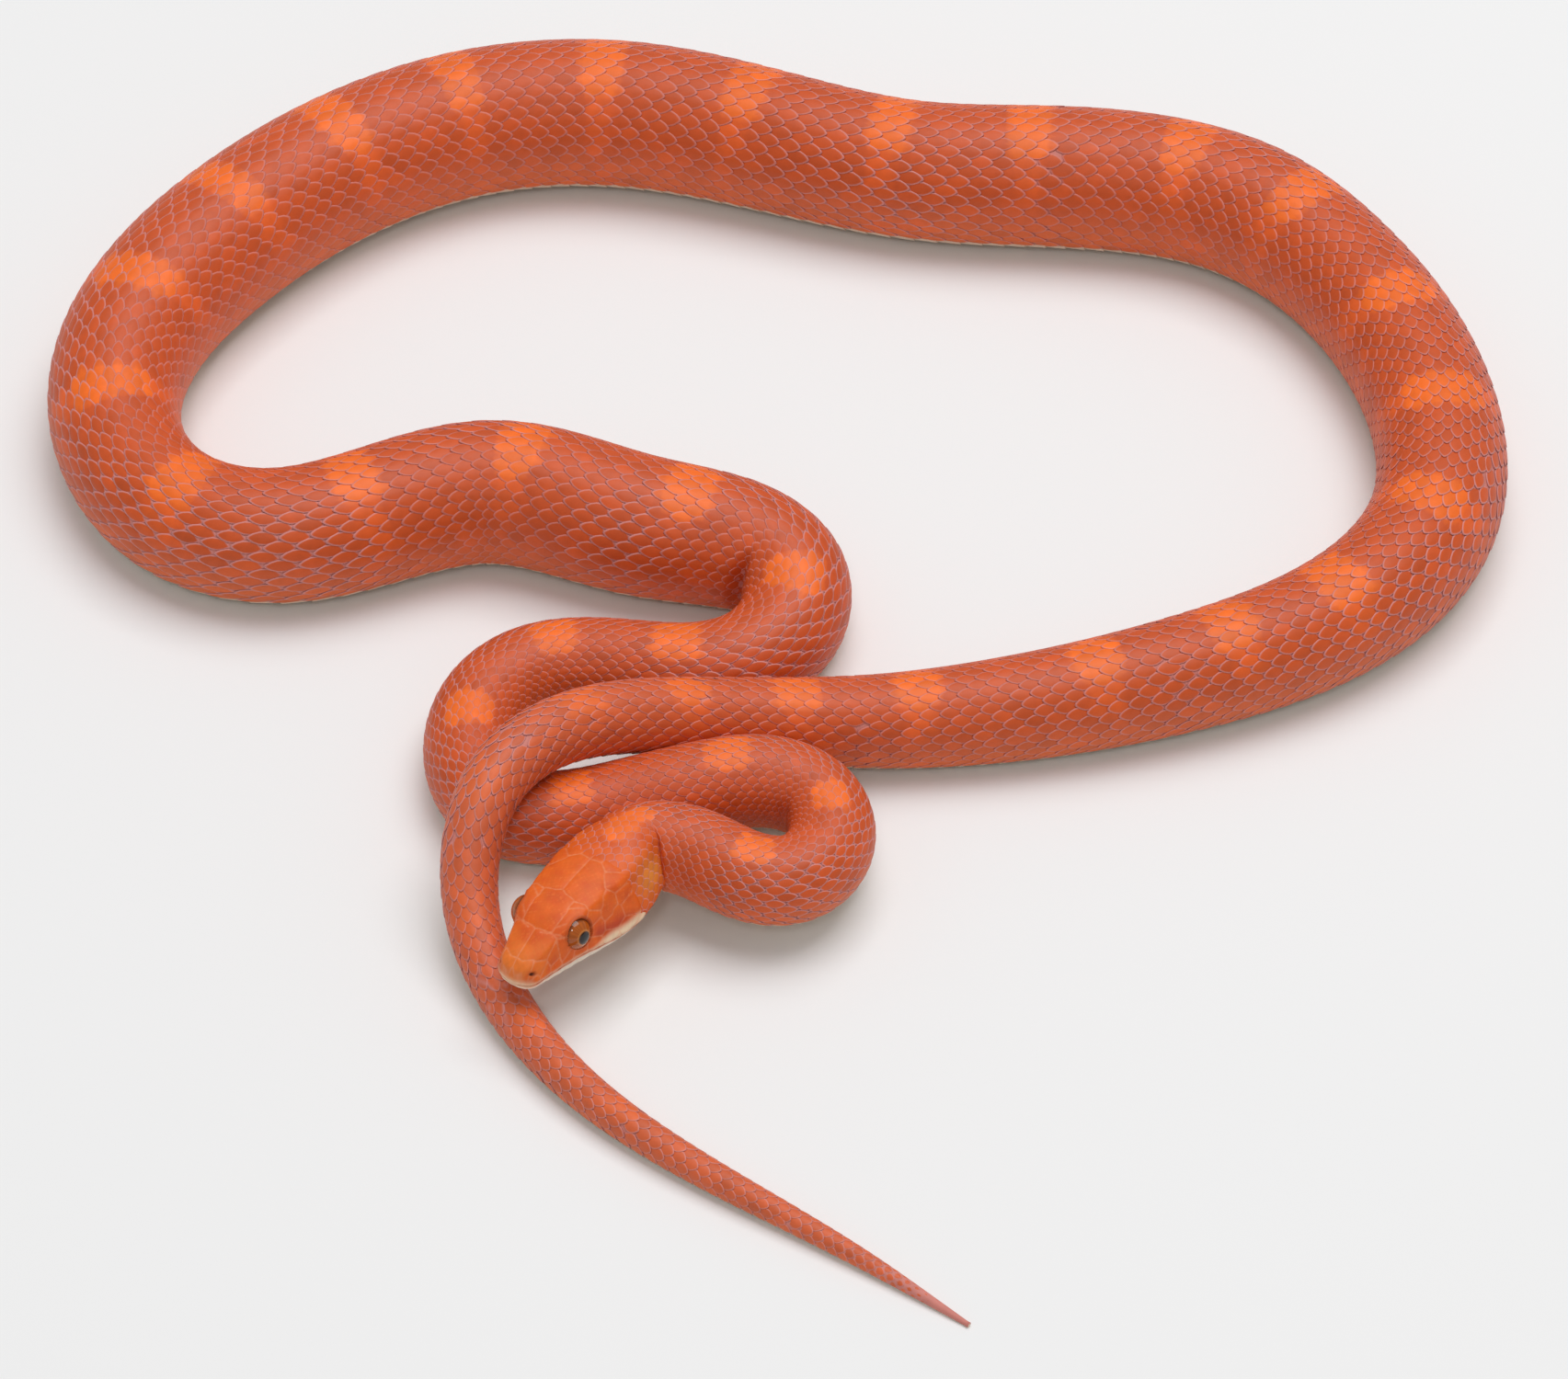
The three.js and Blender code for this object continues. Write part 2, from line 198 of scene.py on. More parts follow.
def spline_near(points, t):
    """Uniform cubic spline near its points, through the first and the last."""
    last = len(points) - 1
    ends = np.vstack([2 * points[0] - points[1], points, 2 * points[-1] - points[-2]])
    i = np.minimum(t.astype(int), last - 1)
    f = (t - i)[:, None]
    return (
        (1 - f) ** 3 * ends[i]
        + (3 * f ** 3 - 6 * f ** 2 + 4) * ends[i + 1]
        + (-3 * f ** 3 + 3 * f ** 2 + 3 * f + 1) * ends[i + 2]
        + f ** 3 * ends[i + 3]
    ) / 6


def unit(vectors):
    return vectors / np.linalg.norm(vectors, axis=-1, keepdims=True)


def on_spine(table, s):
    """What a table kept along the spine says at other distances."""
    return np.stack([np.interp(s, along, column) for column in table.T], -1)


route_line = spline_near(ROUTE, np.linspace(0, len(ROUTE) - 1, ROUTE_STEPS))
reached = np.concatenate([[0], np.cumsum(np.linalg.norm(np.diff(route_line, axis=0), axis=1))])
SPINE_LENGTH = reached[-1]
along = np.arange(0, SPINE_LENGTH, SPINE_STEP)
line = np.stack([np.interp(along, reached, column) for column in route_line.T], 1)
radius_along = smooth_rows(GIRTH, along)
line[:, 2] += SPINE_OVER_BELLY * radius_along
line += ROUTE_MIDDLE
forward_along = unit(np.gradient(line, along, axis=0))
side_along = unit(np.cross([0, 0, 1], forward_along))
above_along = np.cross(forward_along, side_along)
turned = on_spine(forward_along, along + BEND_REACH) - on_spine(forward_along, along - BEND_REACH)
bend_along = (turned * side_along).sum(1) / (2 * BEND_REACH)


# Head: its shape as sections from the snout back to the neck, the way it is
# carried, and its outline in each direction round the line of the neck.
HEAD_LENGTH = 36
HEAD_ROLL = math.radians(6)
ROLL_FADES_OVER = 22
NECK_RISE = 0.6
NECK_GAP = 0.15
HEAD_SECTIONS = np.array([
    # distance behind the snout, half width at the lips and at the brow, heights of
    # the crown and brow, half width of the chin and its height
    [0.2, 1.7, 1.1, 1.9, 1.6, 1, -0.6],
    [0.9, 3, 2.2, 3, 2.6, 1.9, -1.3],
    [2.2, 4.1, 3.1, 4, 3.5, 2.7, -1.8],
    [4.5, 4.8, 3.7, 4.9, 4.3, 3.3, -2.2],
    [8, 5.7, 4.5, 6.2, 5.6, 4, -2.7],
    [12, 6.8, 5.8, 7.6, 7, 4.8, -3.2],
    [16, 8.1, 6.3, 8.3, 7.3, 5.5, -3.8],
    [21, 9.3, 6.9, 8.7, 7.1, 6.1, -4.6],
    [26, 9.8, 7.3, 8.7, 6.8, 6.4, -5.3],
    [30, 9.5, 7.2, 8.6, 6.6, 6.1, -5.8],
    [33.5, 8.7, 6.5, 8.7, 6.5, 5.3, -6.3],
    [36, 8.2, 5.8, 8.8, 6.4, 4.2, -6.45],
])
MOUTH_LINE = np.array(
    [[-2, 0], [0, 0], [5, 0.25], [11, 0.1], [17, -0.6], [22, -1.3], [27.5, -1.6], [36, -1.6]])

head_x = -forward_along[0]
head_y = math.sin(HEAD_ROLL) * above_along[0] - math.cos(HEAD_ROLL) * side_along[0]
head_z = np.cross(head_x, head_y)
head_turn = np.stack([head_x, head_y, head_z], 1)
head_origin = line[0] - head_turn @ np.array([-HEAD_LENGTH - NECK_GAP, 0, NECK_RISE])

# The dressed head is carried a little higher and further back than the straight line
# of the neck, turned by up to 2.5 degrees about each axis, and slightly fuller than
# its sections. The turns are in radians.
HEAD_SETTLE_TURN = (-0.0343, -0.0444, -0.0162)
HEAD_SETTLE_MOVE = np.array([-1.77, -0.3, 0.7])
HEAD_FULLER = np.array([1.029, 1.04, 1.063])
turn_x, turn_y, turn_z = (
    np.array(Matrix.Rotation(turn, 3, axis)) for turn, axis in zip(HEAD_SETTLE_TURN, "XYZ"))
head_settle = turn_z @ turn_y @ turn_x
head_hinge = np.array([-HEAD_LENGTH, 0, NECK_RISE])


def carry_head(local):
    """Points of the head, in its own axes, set down at the end of the neck."""
    settled = (local - head_hinge) * HEAD_FULLER @ head_settle.T + head_hinge + HEAD_SETTLE_MOVE
    return head_origin + settled @ head_turn.T


def head_half_section(back):
    """One section's outline, out and up, from the middle of the crown to the chin."""
    lip, brow, crown, brow_up, chin, chin_up = (
        smooth_rows(HEAD_SECTIONS[:, (0, k)], np.array([back]))[0] for k in range(1, 7))
    mouth = smooth_rows(MOUTH_LINE, np.array([back]))[0]
    return np.array([
        [0, crown],
        [brow * 0.5, crown - (crown - brow_up) * 0.15],
        [brow * 0.85, crown - (crown - brow_up) * 0.6],
        [brow, brow_up - 0.2],
        [(brow + lip) / 2 + 0.1, (brow_up + mouth) / 2 + 0.4],
        [lip, mouth + 1],
        [lip - 0.1, mouth + 0.1],
        [lip - 0.35, mouth - 0.4],
        [(lip + chin) / 2, mouth + (chin_up - mouth) * 0.6],
        [chin, chin_up + 0.3],
        [chin * 0.5, chin_up],
        [0, chin_up],
    ])


ANGLE_STEPS = 720
CURVE_STEPS = 16
BACK_STEP = 0.1
EVEN_OVER = 12
SNOUT_ROUNDS_OVER = 0.9
SNOUT_ROUNDNESS = 0.35
angle_table = np.linspace(-math.pi, math.pi, ANGLE_STEPS + 1)


def head_outline(back):
    """Reach of one section of the head from the neck's line, for each tabled angle."""
    half = head_half_section(back)
    whole = np.vstack([half, (half * [-1, 1])[-2:0:-1]])
    n = len(whole)
    t = np.arange(n * CURVE_STEPS) / CURVE_STEPS
    i = t.astype(int)
    f = (t - i)[:, None]
    a, b, c, d = (whole[(i + k) % n] for k in (-1, 0, 1, 2))
    curve = 0.5 * (2 * b + (c - a) * f + (2 * a - 5 * b + 4 * c - d) * f ** 2
                   + (3 * b - a - 3 * c + d) * f ** 3)
    across, up = curve[:, 0], curve[:, 1] - NECK_RISE
    angle = np.arctan2(across, up)
    order = np.argsort(angle)
    return np.interp(angle_table, angle[order], np.hypot(across, up)[order], period=2 * math.pi)


back_table = np.arange(0, HEAD_LENGTH + BACK_STEP, BACK_STEP)
head_table = np.stack([head_outline(back) for back in back_table])
# Bone edges under skin are soft, so each section is evened out over a few degrees
before, after = head_table[:, -1 - EVEN_OVER:-1], head_table[:, 1:EVEN_OVER + 1]
padded = np.concatenate([before, head_table, after], 1)
bell = np.exp(-np.linspace(-2, 2, 2 * EVEN_OVER + 1) ** 2)
head_table = np.apply_along_axis(lambda row: np.convolve(row, bell / bell.sum(), "valid"), 1, padded)
# The snout's front is rounded off to a point
for row, back in enumerate(back_table):
    t = back / SNOUT_ROUNDS_OVER
    if t < 1:
        round_front = math.sqrt(1 - (1 - t) ** 2)
        head_table[row] *= SNOUT_ROUNDNESS * round_front + (1 - SNOUT_ROUNDNESS) * t ** 0.5


def ramp(value, low, high):
    """Eases from 0 at low to 1 at high."""
    t = np.clip((value - low) / (high - low), 0, 1)
    return t * t * (3 - 2 * t)


def mix(a, b, share):
    """Colours or points between a and b, by each one's share of b."""
    share = np.asarray(share)[..., None]
    return a * (1 - share) + b * share


def look_up(table, rows, row_step, angles):
    """Bilinear look-up in a table of rows by angle."""
    r = np.clip(rows / row_step, 0, len(table) - 1.001)
    i = r.astype(int)
    f = r - i
    t = (angles + math.pi) / (2 * math.pi) % 1 * ANGLE_STEPS
    j = np.minimum(t.astype(int), ANGLE_STEPS - 1)
    g = t - j
    return ((1 - f) * ((1 - g) * table[i, j] + g * table[i, j + 1])
            + f * ((1 - g) * table[i + 1, j] + g * table[i + 1, j + 1]))


BELLY_FLATTENS_AT = -0.7
BELLY_ROUND_LEFT = 0.145
HEAD_HOLDS_TO = -3
NECK_BLENDS_OVER = 9
# Inside a bend a flank is pressed flat, from one share of the way to the bend's
# middle, and never comes further than the other
FLANK_FREE = 0.5
FLANK_MOST = 0.8
NEARLY_STRAIGHT = 1e-9


def body_section(angles):
    """Outline of the body for a radius of 1: round, with a softly flattened belly."""
    across, up = np.sin(angles), np.cos(angles)
    past = BELLY_FLATTENS_AT - up
    pressed_up = BELLY_FLATTENS_AT - BELLY_ROUND_LEFT * (1 - np.exp(-past / BELLY_ROUND_LEFT))
    return across, np.where(past > 0, pressed_up, up)


def lay_on_snake(s, angle, height):
    """Points in millimetres at distance s, round by angle, standing height off the skin."""
    s, angle, height = np.broadcast_arrays(s, angle, height)
    on_body = np.maximum(s, 0)
    side, above, forward = (
        on_spine(table, on_body) for table in (side_along, above_along, forward_along))
    past_tip = np.maximum(s - along[-1], 0)
    centre = on_spine(line, on_body) + forward * past_tip[..., None]
    radius = np.interp(on_body, along, radius_along)
    bend = np.interp(on_body, along, bend_along)
    # near the head the section grows out of the head's own
    own = look_up(head_table, np.minimum(HEAD_LENGTH + s, HEAD_LENGTH), BACK_STEP, angle)
    share = 1 - ramp(s, 0, NECK_BLENDS_OVER)
    across, up = body_section(angle)
    across = across * radius * (1 - share) + (own * share + height) * np.sin(angle)
    up = up * radius * (1 - share) + (own * share + height) * np.cos(angle)
    # the head's roll is lost again along the neck
    roll = HEAD_ROLL * np.clip(1 - on_body / ROLL_FADES_OVER, 0, 1) ** 2
    leaned = across * np.cos(roll) + up * np.sin(roll)
    raised = up * np.cos(roll) - across * np.sin(roll)
    inside = leaned * bend
    room = FLANK_MOST - FLANK_FREE
    eased = FLANK_FREE + room * (1 - np.exp(-np.maximum(inside - FLANK_FREE, 0) / room))
    some_bend = np.where(np.abs(bend) < NEARLY_STRAIGHT, NEARLY_STRAIGHT, bend)
    leaned = np.where(inside > FLANK_FREE, eased / some_bend, leaned)
    body = centre + side * leaned[..., None] + above * raised[..., None]
    head = carry_head(np.stack([
        -(HEAD_LENGTH + s), -(own + height) * np.sin(angle),
        NECK_RISE + (own + height) * np.cos(angle)], -1))
    return mix(body, head, 1 - ramp(s, HEAD_HOLDS_TO, NECK_BLENDS_OVER))


# Markings: bright saddles on the middle of the back that run down the flanks as
# fainter bands, on red-orange that is lighter low on the sides. They are painted
# as a tint on the points of skin, scales, scutes and head alike.
SADDLES = np.array([
    # distance along the spine, half length, half width round the back
    [1, 6, 2.6], [26, 3.8, 3.6], [51, 3.4, 3.8], [75, 4, 4.2], [105, 3.9, 4.6], [139, 4.5, 5],
    [166, 4.3, 5], [190, 4.6, 5.5], [221, 4.6, 6.5], [252, 4.8, 8], [287, 4.6, 8.5],
    [321, 4.5, 7.5], [355, 5, 7.5], [388, 4.6, 8.5], [420, 4.5, 9.5], [451, 4.5, 10.5],
    [481, 4.5, 11], [510, 4.5, 11], [542, 4.5, 11], [574, 4.5, 10.5], [606, 4.5, 10],
    [635, 4.5, 9.5], [668, 4.8, 9.5], [696, 4.8, 9], [731, 4.8, 8.5], [762, 4.8, 8.5],
    [793, 5, 8], [823, 5, 7], [847, 4.8, 6.5], [874, 4.8, 6], [909, 4.6, 5.2], [933, 4.5, 4.6],
    [955, 4.2, 4.2], [977, 4, 3.8], [1001, 4, 3.6], [1026, 4, 3], [1052, 3.5, 2.4], [1078, 3.5, 2],
])
BACK_RED = np.array(linear(204, 84, 36))
FLANK_ORANGE = np.array(linear(222, 106, 52))
SADDLE_ORANGE = np.array(linear(242, 108, 32))
BAND_ORANGE = np.array(linear(232, 98, 38))
TAIL_ROSE = np.array(linear(212, 98, 58))
CROWN_ORANGE = np.array(linear(228, 98, 24))
TEMPLE_RED = np.array(linear(212, 82, 24))
PATCH_YELLOW = np.array(linear(242, 160, 72))
BANDS_FROM, BANDS_FULL = 210, 330
TAIL_FROM, TAIL_FULL = 930, 1010
NAPE_FROM, NAPE_TO = -8, 12
FLANK_FROM, FLANK_FULL = 1.1, 2.15
# The yellow patch on the cheek: its place and size along and round the head
CHEEK_AT, CHEEK_LONG = -4, 4
CHEEK_ANGLE, CHEEK_WIDE = 1.25, 0.35


def ripple(a, b, seed):
    """Smooth made-up unevenness between -1 and 1."""
    value = 0
    for k in range(4):
        turn = seed + 1.7 * k
        value = value + np.sin(a * math.cos(turn) * (1 + k) + b * math.sin(turn) * (1 + k) + 5 * turn)
    return value / 4


def saddle_share(s, round_back):
    """How far a spot belongs to a saddle, and to the band that runs down from it."""
    uneven = 0.9 * ripple(s * 0.5, round_back * 0.6, 2.0)
    saddle = np.zeros(np.shape(s))
    band = np.zeros(np.shape(s))
    for place, half_length, half_width in SADDLES:
        off_along = np.abs(s - place) / half_length
        if not (off_along < 2).any():
            continue
        off_round = round_back / half_width
        inside = off_along ** 6 + off_round ** 4 + 0.12 * uneven
        saddle = np.maximum(saddle, 1 - ramp(inside, 0.94, 1.06))
        narrow = off_along * (1 + 0.25 * off_round) + 0.16 * uneven
        down = 1 - ramp(round_back, half_width * 0.9, half_width * 3.1)
        band = np.maximum(band, (1 - ramp(narrow, 0.6, 1.05)) * down)
    return saddle, band * (1 - saddle) * ramp(s, BANDS_FROM, BANDS_FULL)


def scale_colour(s, angle):
    """The scales' own colour at a place on the body."""
    off_back = np.abs(angle)
    round_back = off_back * np.interp(s, along, radius_along)
    on_tail = ramp(s, TAIL_FROM, TAIL_FULL)
    low = 0.85 * ramp(off_back, FLANK_FROM, FLANK_FULL)
    base = mix(mix(BACK_RED, TAIL_ROSE, on_tail), FLANK_ORANGE, low)
    nape = mix(TEMPLE_RED, CROWN_ORANGE, 0.5 + 0.5 * ripple(s * 0.5, round_back * 0.5, 0.7))
    base = mix(nape, base, ramp(s, NAPE_FROM, NAPE_TO))
    cheek = np.exp(-(((s - CHEEK_AT) / CHEEK_LONG) ** 2 + ((off_back - CHEEK_ANGLE) / CHEEK_WIDE) ** 2))
    base = mix(base, PATCH_YELLOW, 0.7 * cheek)
    blotch = ramp(ripple(s * 0.16, round_back * 0.25, 4.0), 0.15, 0.75) * ramp(off_back, 0.8, 1.4)
    base = mix(base, BAND_ORANGE, 0.55 * blotch * (1 - on_tail))
    saddle, band = saddle_share(s, round_back)
    colour = mix(base, BAND_ORANGE, 0.85 * band * (1 - on_tail))
    return mix(colour, SADDLE_ORANGE, saddle * (1 - 0.75 * on_tail))


def paint(piece, colours):
    """One colour for each point of a mesh, kept in its tint attribute."""
    attribute = piece.data.color_attributes.new("tint", "FLOAT_COLOR", "POINT")
    filled = np.ones((len(colours), 4), np.float32)
    filled[:, :3] = colours
    attribute.data.foreach_set("color", filled.ravel())


COAT_ROUGHNESS = 0.35
CLOUD_SCALE = 420
CLOUD_STRENGTH = 0.14
GRAIN_HEIGHT = 0.05 * mm


def tinted_skin(name, roughness, specular, coat, grain, bump):
    """Reptile skin: its tint attribute, clouded a little, with a fine satin grain."""
    material, shader = material_with_shader(name, roughness, specular)
    shader.inputs["Coat Weight"].default_value = coat
    shader.inputs["Coat Roughness"].default_value = COAT_ROUGHNESS
    nodes, links = material.node_tree.nodes, material.node_tree.links
    tint = nodes.new("ShaderNodeAttribute")
    tint.attribute_name = "tint"
    place = nodes.new("ShaderNodeTexCoord")
    cloud = nodes.new("ShaderNodeTexNoise")
    cloud.inputs["Scale"].default_value = CLOUD_SCALE
    cloud.inputs["Detail"].default_value = 3
    links.new(place.outputs["Object"], cloud.inputs["Vector"])
    clouded = nodes.new("ShaderNodeHueSaturation")
    value = nodes.new("ShaderNodeMapRange")
    value.inputs["To Min"].default_value = 1 - CLOUD_STRENGTH
    value.inputs["To Max"].default_value = 1 + CLOUD_STRENGTH
    links.new(cloud.outputs["Fac"], value.inputs["Value"])
    links.new(value.outputs["Result"], clouded.inputs["Value"])
    links.new(tint.outputs["Color"], clouded.inputs["Color"])
    links.new(clouded.outputs["Color"], shader.inputs["Base Color"])
    fine = nodes.new("ShaderNodeTexNoise")
    fine.inputs["Scale"].default_value = grain
    fine.inputs["Detail"].default_value = 2
    links.new(place.outputs["Object"], fine.inputs["Vector"])
    relief = nodes.new("ShaderNodeBump")
    relief.inputs["Strength"].default_value = bump
    relief.inputs["Distance"].default_value = GRAIN_HEIGHT
    links.new(fine.outputs["Fac"], relief.inputs["Height"])
    links.new(relief.outputs["Normal"], shader.inputs["Normal"])
    return material


# Skin: one closed sleeve of thin pale skin under the scales, from inside the
# back of the head to the tip of the tail.
BELLY_IVORY = np.array(linear(240, 222, 196))
SKIN_BETWEEN = np.array(linear(206, 138, 132))
SKIN_DEPTH = 0.24
SKIN_ROUND = 96
SKIN_FROM, SKIN_STEP = -14, 1.5
TIP_FROM, TIP_STEP, TIP_PAST = 1140, 0.8, 0.6


def closed_sleeve(name, points, material, flip):
    """A tube of points, shut at both ends by a fan round a middle point."""
    rows, columns, _ = points.shape
    i, j = np.meshgrid(np.arange(rows - 1), np.arange(columns), indexing="ij")
    k = (j + 1) % columns
    near, far = i * columns, (i + 1) * columns
    faces = np.stack([near + j, far + j, far + k, near + k], -1).reshape(-1, 4).tolist()
    first, last, last_ring = rows * columns, rows * columns + 1, (rows - 1) * columns
    pairs = [(j, (j + 1) % columns) for j in range(columns)]
    faces += [(first, j, k) for j, k in pairs]
    faces += [(last, last_ring + k, last_ring + j) for j, k in pairs]
    if flip:
        faces = [face[::-1] for face in faces]
    middles = np.stack([points[0].mean(0), points[-1].mean(0)])
    return mesh_piece(name, np.vstack([points.reshape(-1, 3), middles]) * mm, faces, material)


def paint_sleeve(piece, colours):
    """Paints a closed sleeve, its middle points like the rings they shut."""
    flat = colours.reshape(-1, 3)
    paint(piece, np.vstack([flat, flat[:1], flat[-1:]]))


skin_material = tinted_skin(
    "skin_between_scales", roughness=0.6, specular=0.3, coat=0, grain=2600, bump=0.25)
skin_s = np.concatenate([
    np.arange(SKIN_FROM, TIP_FROM, SKIN_STEP), np.arange(TIP_FROM, SPINE_LENGTH + TIP_PAST, TIP_STEP)])
skin_angle = np.linspace(-math.pi, math.pi, SKIN_ROUND, endpoint=False)
grid_s, grid_angle = np.meshgrid(skin_s, skin_angle, indexing="ij")
depth = SKIN_DEPTH * ramp(np.interp(grid_s, along, radius_along), 0, 4)
skin = closed_sleeve("skin", lay_on_snake(grid_s, grid_angle, -depth), skin_material, flip=True)
skin_tint = mix(scale_colour(grid_s, grid_angle), SKIN_BETWEEN, 0.75)
paint_sleeve(skin, mix(skin_tint, BELLY_IVORY, ramp(np.abs(grid_angle), 2.0, 2.25)))
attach(skin, "root")
flesh = [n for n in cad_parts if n.startswith(("neck", "body", "tail"))]
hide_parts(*flesh)


# Scales: thin rounded plates of horn in staggered rows, each fixed at its front
# edge and overlapping the next ones towards the tail. Rows end and begin as the
# girth changes.
# The scales' pale edge colour: partly the pale skin at their edges, partly a painted satin highlight
# along them
SCALE_EDGE = np.array(linear(212, 150, 150))
SIDE_ROWS = 15
# Angle round the body at which the belly scutes take over, along the spine
VENTRAL_ANGLE = np.array([[-36, 2.1], [0, 2.15], [60, 2.2], [960, 2.2], [1010, 2.05], [1152, 1.9]])
# Distance from one scale to the next in its row, along the spine
SCALE_PITCH = np.array([
    [-14, 1.9], [0, 2.2], [40, 2.5], [100, 2.8], [190, 3.3], [250, 4.2], [330, 4.7], [520, 4.7],
    [650, 4.4], [760, 4.1], [880, 3.9], [960, 3.6], [1010, 3.3], [1060, 2.9], [1110, 2.4], [1152, 1.7],
])
# Rows of one side that begin and end: row, from, to, and how gradually
PART_ROWS = {
    5: (250, 990), 7: (60, 1010), 4: (-99, 640), 6: (-99, 780), 3: (-99, 860), 8: (-99, 920),
    2: (-99, 950), 9: (-99, 975), 13: (-99, 1000), 10: (-99, 1035), 14: (-99, 1060),
    11: (-99, 1080), 12: (-99, 1115),
}
ROW_FADES_OVER = 8
ROW_SHOWS_FROM = 0.45
SCALES_FROM = -10
SCALES_TO = SPINE_LENGTH - 6
JAW_SCALES_FURTHER = 2.5
SCALE_SEED = 7
FINE_STEP = 0.5

fine_s = np.arange(SCALES_FROM - 10, SPINE_LENGTH + 10, FINE_STEP)
pitch_count = np.concatenate([[0], np.cumsum(FINE_STEP / smooth_rows(SCALE_PITCH, fine_s[:-1]))])
presence = np.ones((SIDE_ROWS + 1, len(fine_s)))
for row, (begin, end) in PART_ROWS.items():
    presence[row] = ramp(fine_s, begin - ROW_FADES_OVER, begin + ROW_FADES_OVER)
    presence[row] *= 1 - ramp(fine_s, end - ROW_FADES_OVER, end + ROW_FADES_OVER)
rows_passed = np.vstack([0 * fine_s, np.cumsum(presence[1:], axis=0)])
ventral_at = smooth_rows(VENTRAL_ANGLE, fine_s)
row_width = ventral_at / (rows_passed[-1] + 0.5)

# Row 0 runs along the middle of the back, the others down both sides of it
plates = []
for row, (share, passed) in enumerate(zip(presence, rows_passed)):
    middle = (passed - 0.5 * share + 0.5) * row_width
    count = pitch_count + 0.5 * passed
    place = np.interp(np.arange(math.ceil(count[0]), math.floor(count[-1])), count, fine_s)
    place = place[place < SCALES_TO]
    low = ramp(np.interp(place, fine_s, middle), 0.5, 1.2)
    place = place[place > SCALES_FROM - JAW_SCALES_FURTHER * low]
    place = place[np.interp(place, fine_s, share) > ROW_SHOWS_FROM]
    angle = np.interp(place, fine_s, middle)
    # a row that begins or ends here has narrower scales
    width = np.interp(place, fine_s, row_width) * (0.35 + 0.65 * np.interp(place, fine_s, share))
    for side in ((1, -1) if row else (1,)):
        plates.append(np.stack([place, side * angle, smooth_rows(SCALE_PITCH, place), width], 1))
plates = np.vstack(plates)
plates = plates[np.argsort(plates[:, 0], kind="stable")]
plate_s, plate_angle, plate_pitch, plate_width = plates.T
plate_radius = np.interp(np.maximum(plate_s, 0), along, radius_along)
# Scales crowd together inside a bend, and part on its outside
ahead, behind = (lay_on_snake(plate_s + step, plate_angle, 0) for step in (1, -1))
stretch = np.linalg.norm(ahead - behind, axis=1) / 2
plate_length = plate_pitch / np.clip(stretch, 0.7, 1.35) ** 0.75
plate_open = ramp(stretch, 0.9, 1.2)
plate_width = plate_width * (1 - 0.1 * plate_open)
plate_jitter = np.random.default_rng(SCALE_SEED).normal(0, 1, (len(plates), 3))

# Half of one scale's outline, 1 long for its pitch and 1 wide for its row, from
# the free tip to the root
PLATE_OUTLINE = np.array([
    [0.6, 0], [0.54, 0.2], [0.36, 0.5], [0.1, 0.74], [-0.2, 0.77], [-0.52, 0.52], [-0.72, 0.2],
])
# Rings from the middle out: size, and share of the pale edge colour, which is partly a painted satin
# highlight
PLATE_RINGS = ((0.5, 0), (0.76, 0), (0.87, 0.7), (1, 1))
PLATE_TILT = 0.24
PLATE_CROWN = 0.13
PLATE_ROOT_DEPTH, PLATE_UNDER_DEPTH, PLATE_LOWEST = 0.145, 0.26, 0.28


def plate_mesh():
    """Points, faces and edge shares of one closed scale, its tip at +x."""
    outline = np.vstack([PLATE_OUTLINE, (PLATE_OUTLINE * [1, -1])[-2:0:-1]])
    points, rims = [(0, 0, PLATE_CROWN)], [0]
    for ring, rim in PLATE_RINGS:
        for x, y in outline * ring:
            crown = PLATE_CROWN * (1 - ring ** 2)
            points.append((x, y, PLATE_TILT * (x + 0.6) + crown - PLATE_ROOT_DEPTH))
            rims.append(rim)
    for x, y in outline:
        points.append((x * 0.98, y * 0.98, PLATE_TILT * (x + 0.6) - PLATE_UNDER_DEPTH))
        rims.append(1)
    points.append((0, 0, -PLATE_LOWEST))
    rims.append(1)
    n = len(outline)
    lowest = 1 + len(PLATE_RINGS) * n
    faces = []
    for j in range(n):
        k = (j + 1) % n
        faces.append((0, 1 + j, 1 + k))
        for a in range(1, lowest, n):
            faces.append((a + j, a + n + j, a + n + k, a + k))
        faces.append((lowest + j, lowest + n, lowest + k))
    return np.array(points), faces, np.array(rims)


plate_points, plate_faces, plate_rims = plate_mesh()
one_scale = mesh_piece("one_scale", plate_points, plate_faces)

scale_material = tinted_skin("scale", roughness=0.47, specular=0.38, coat=0, grain=2600, bump=0.2)


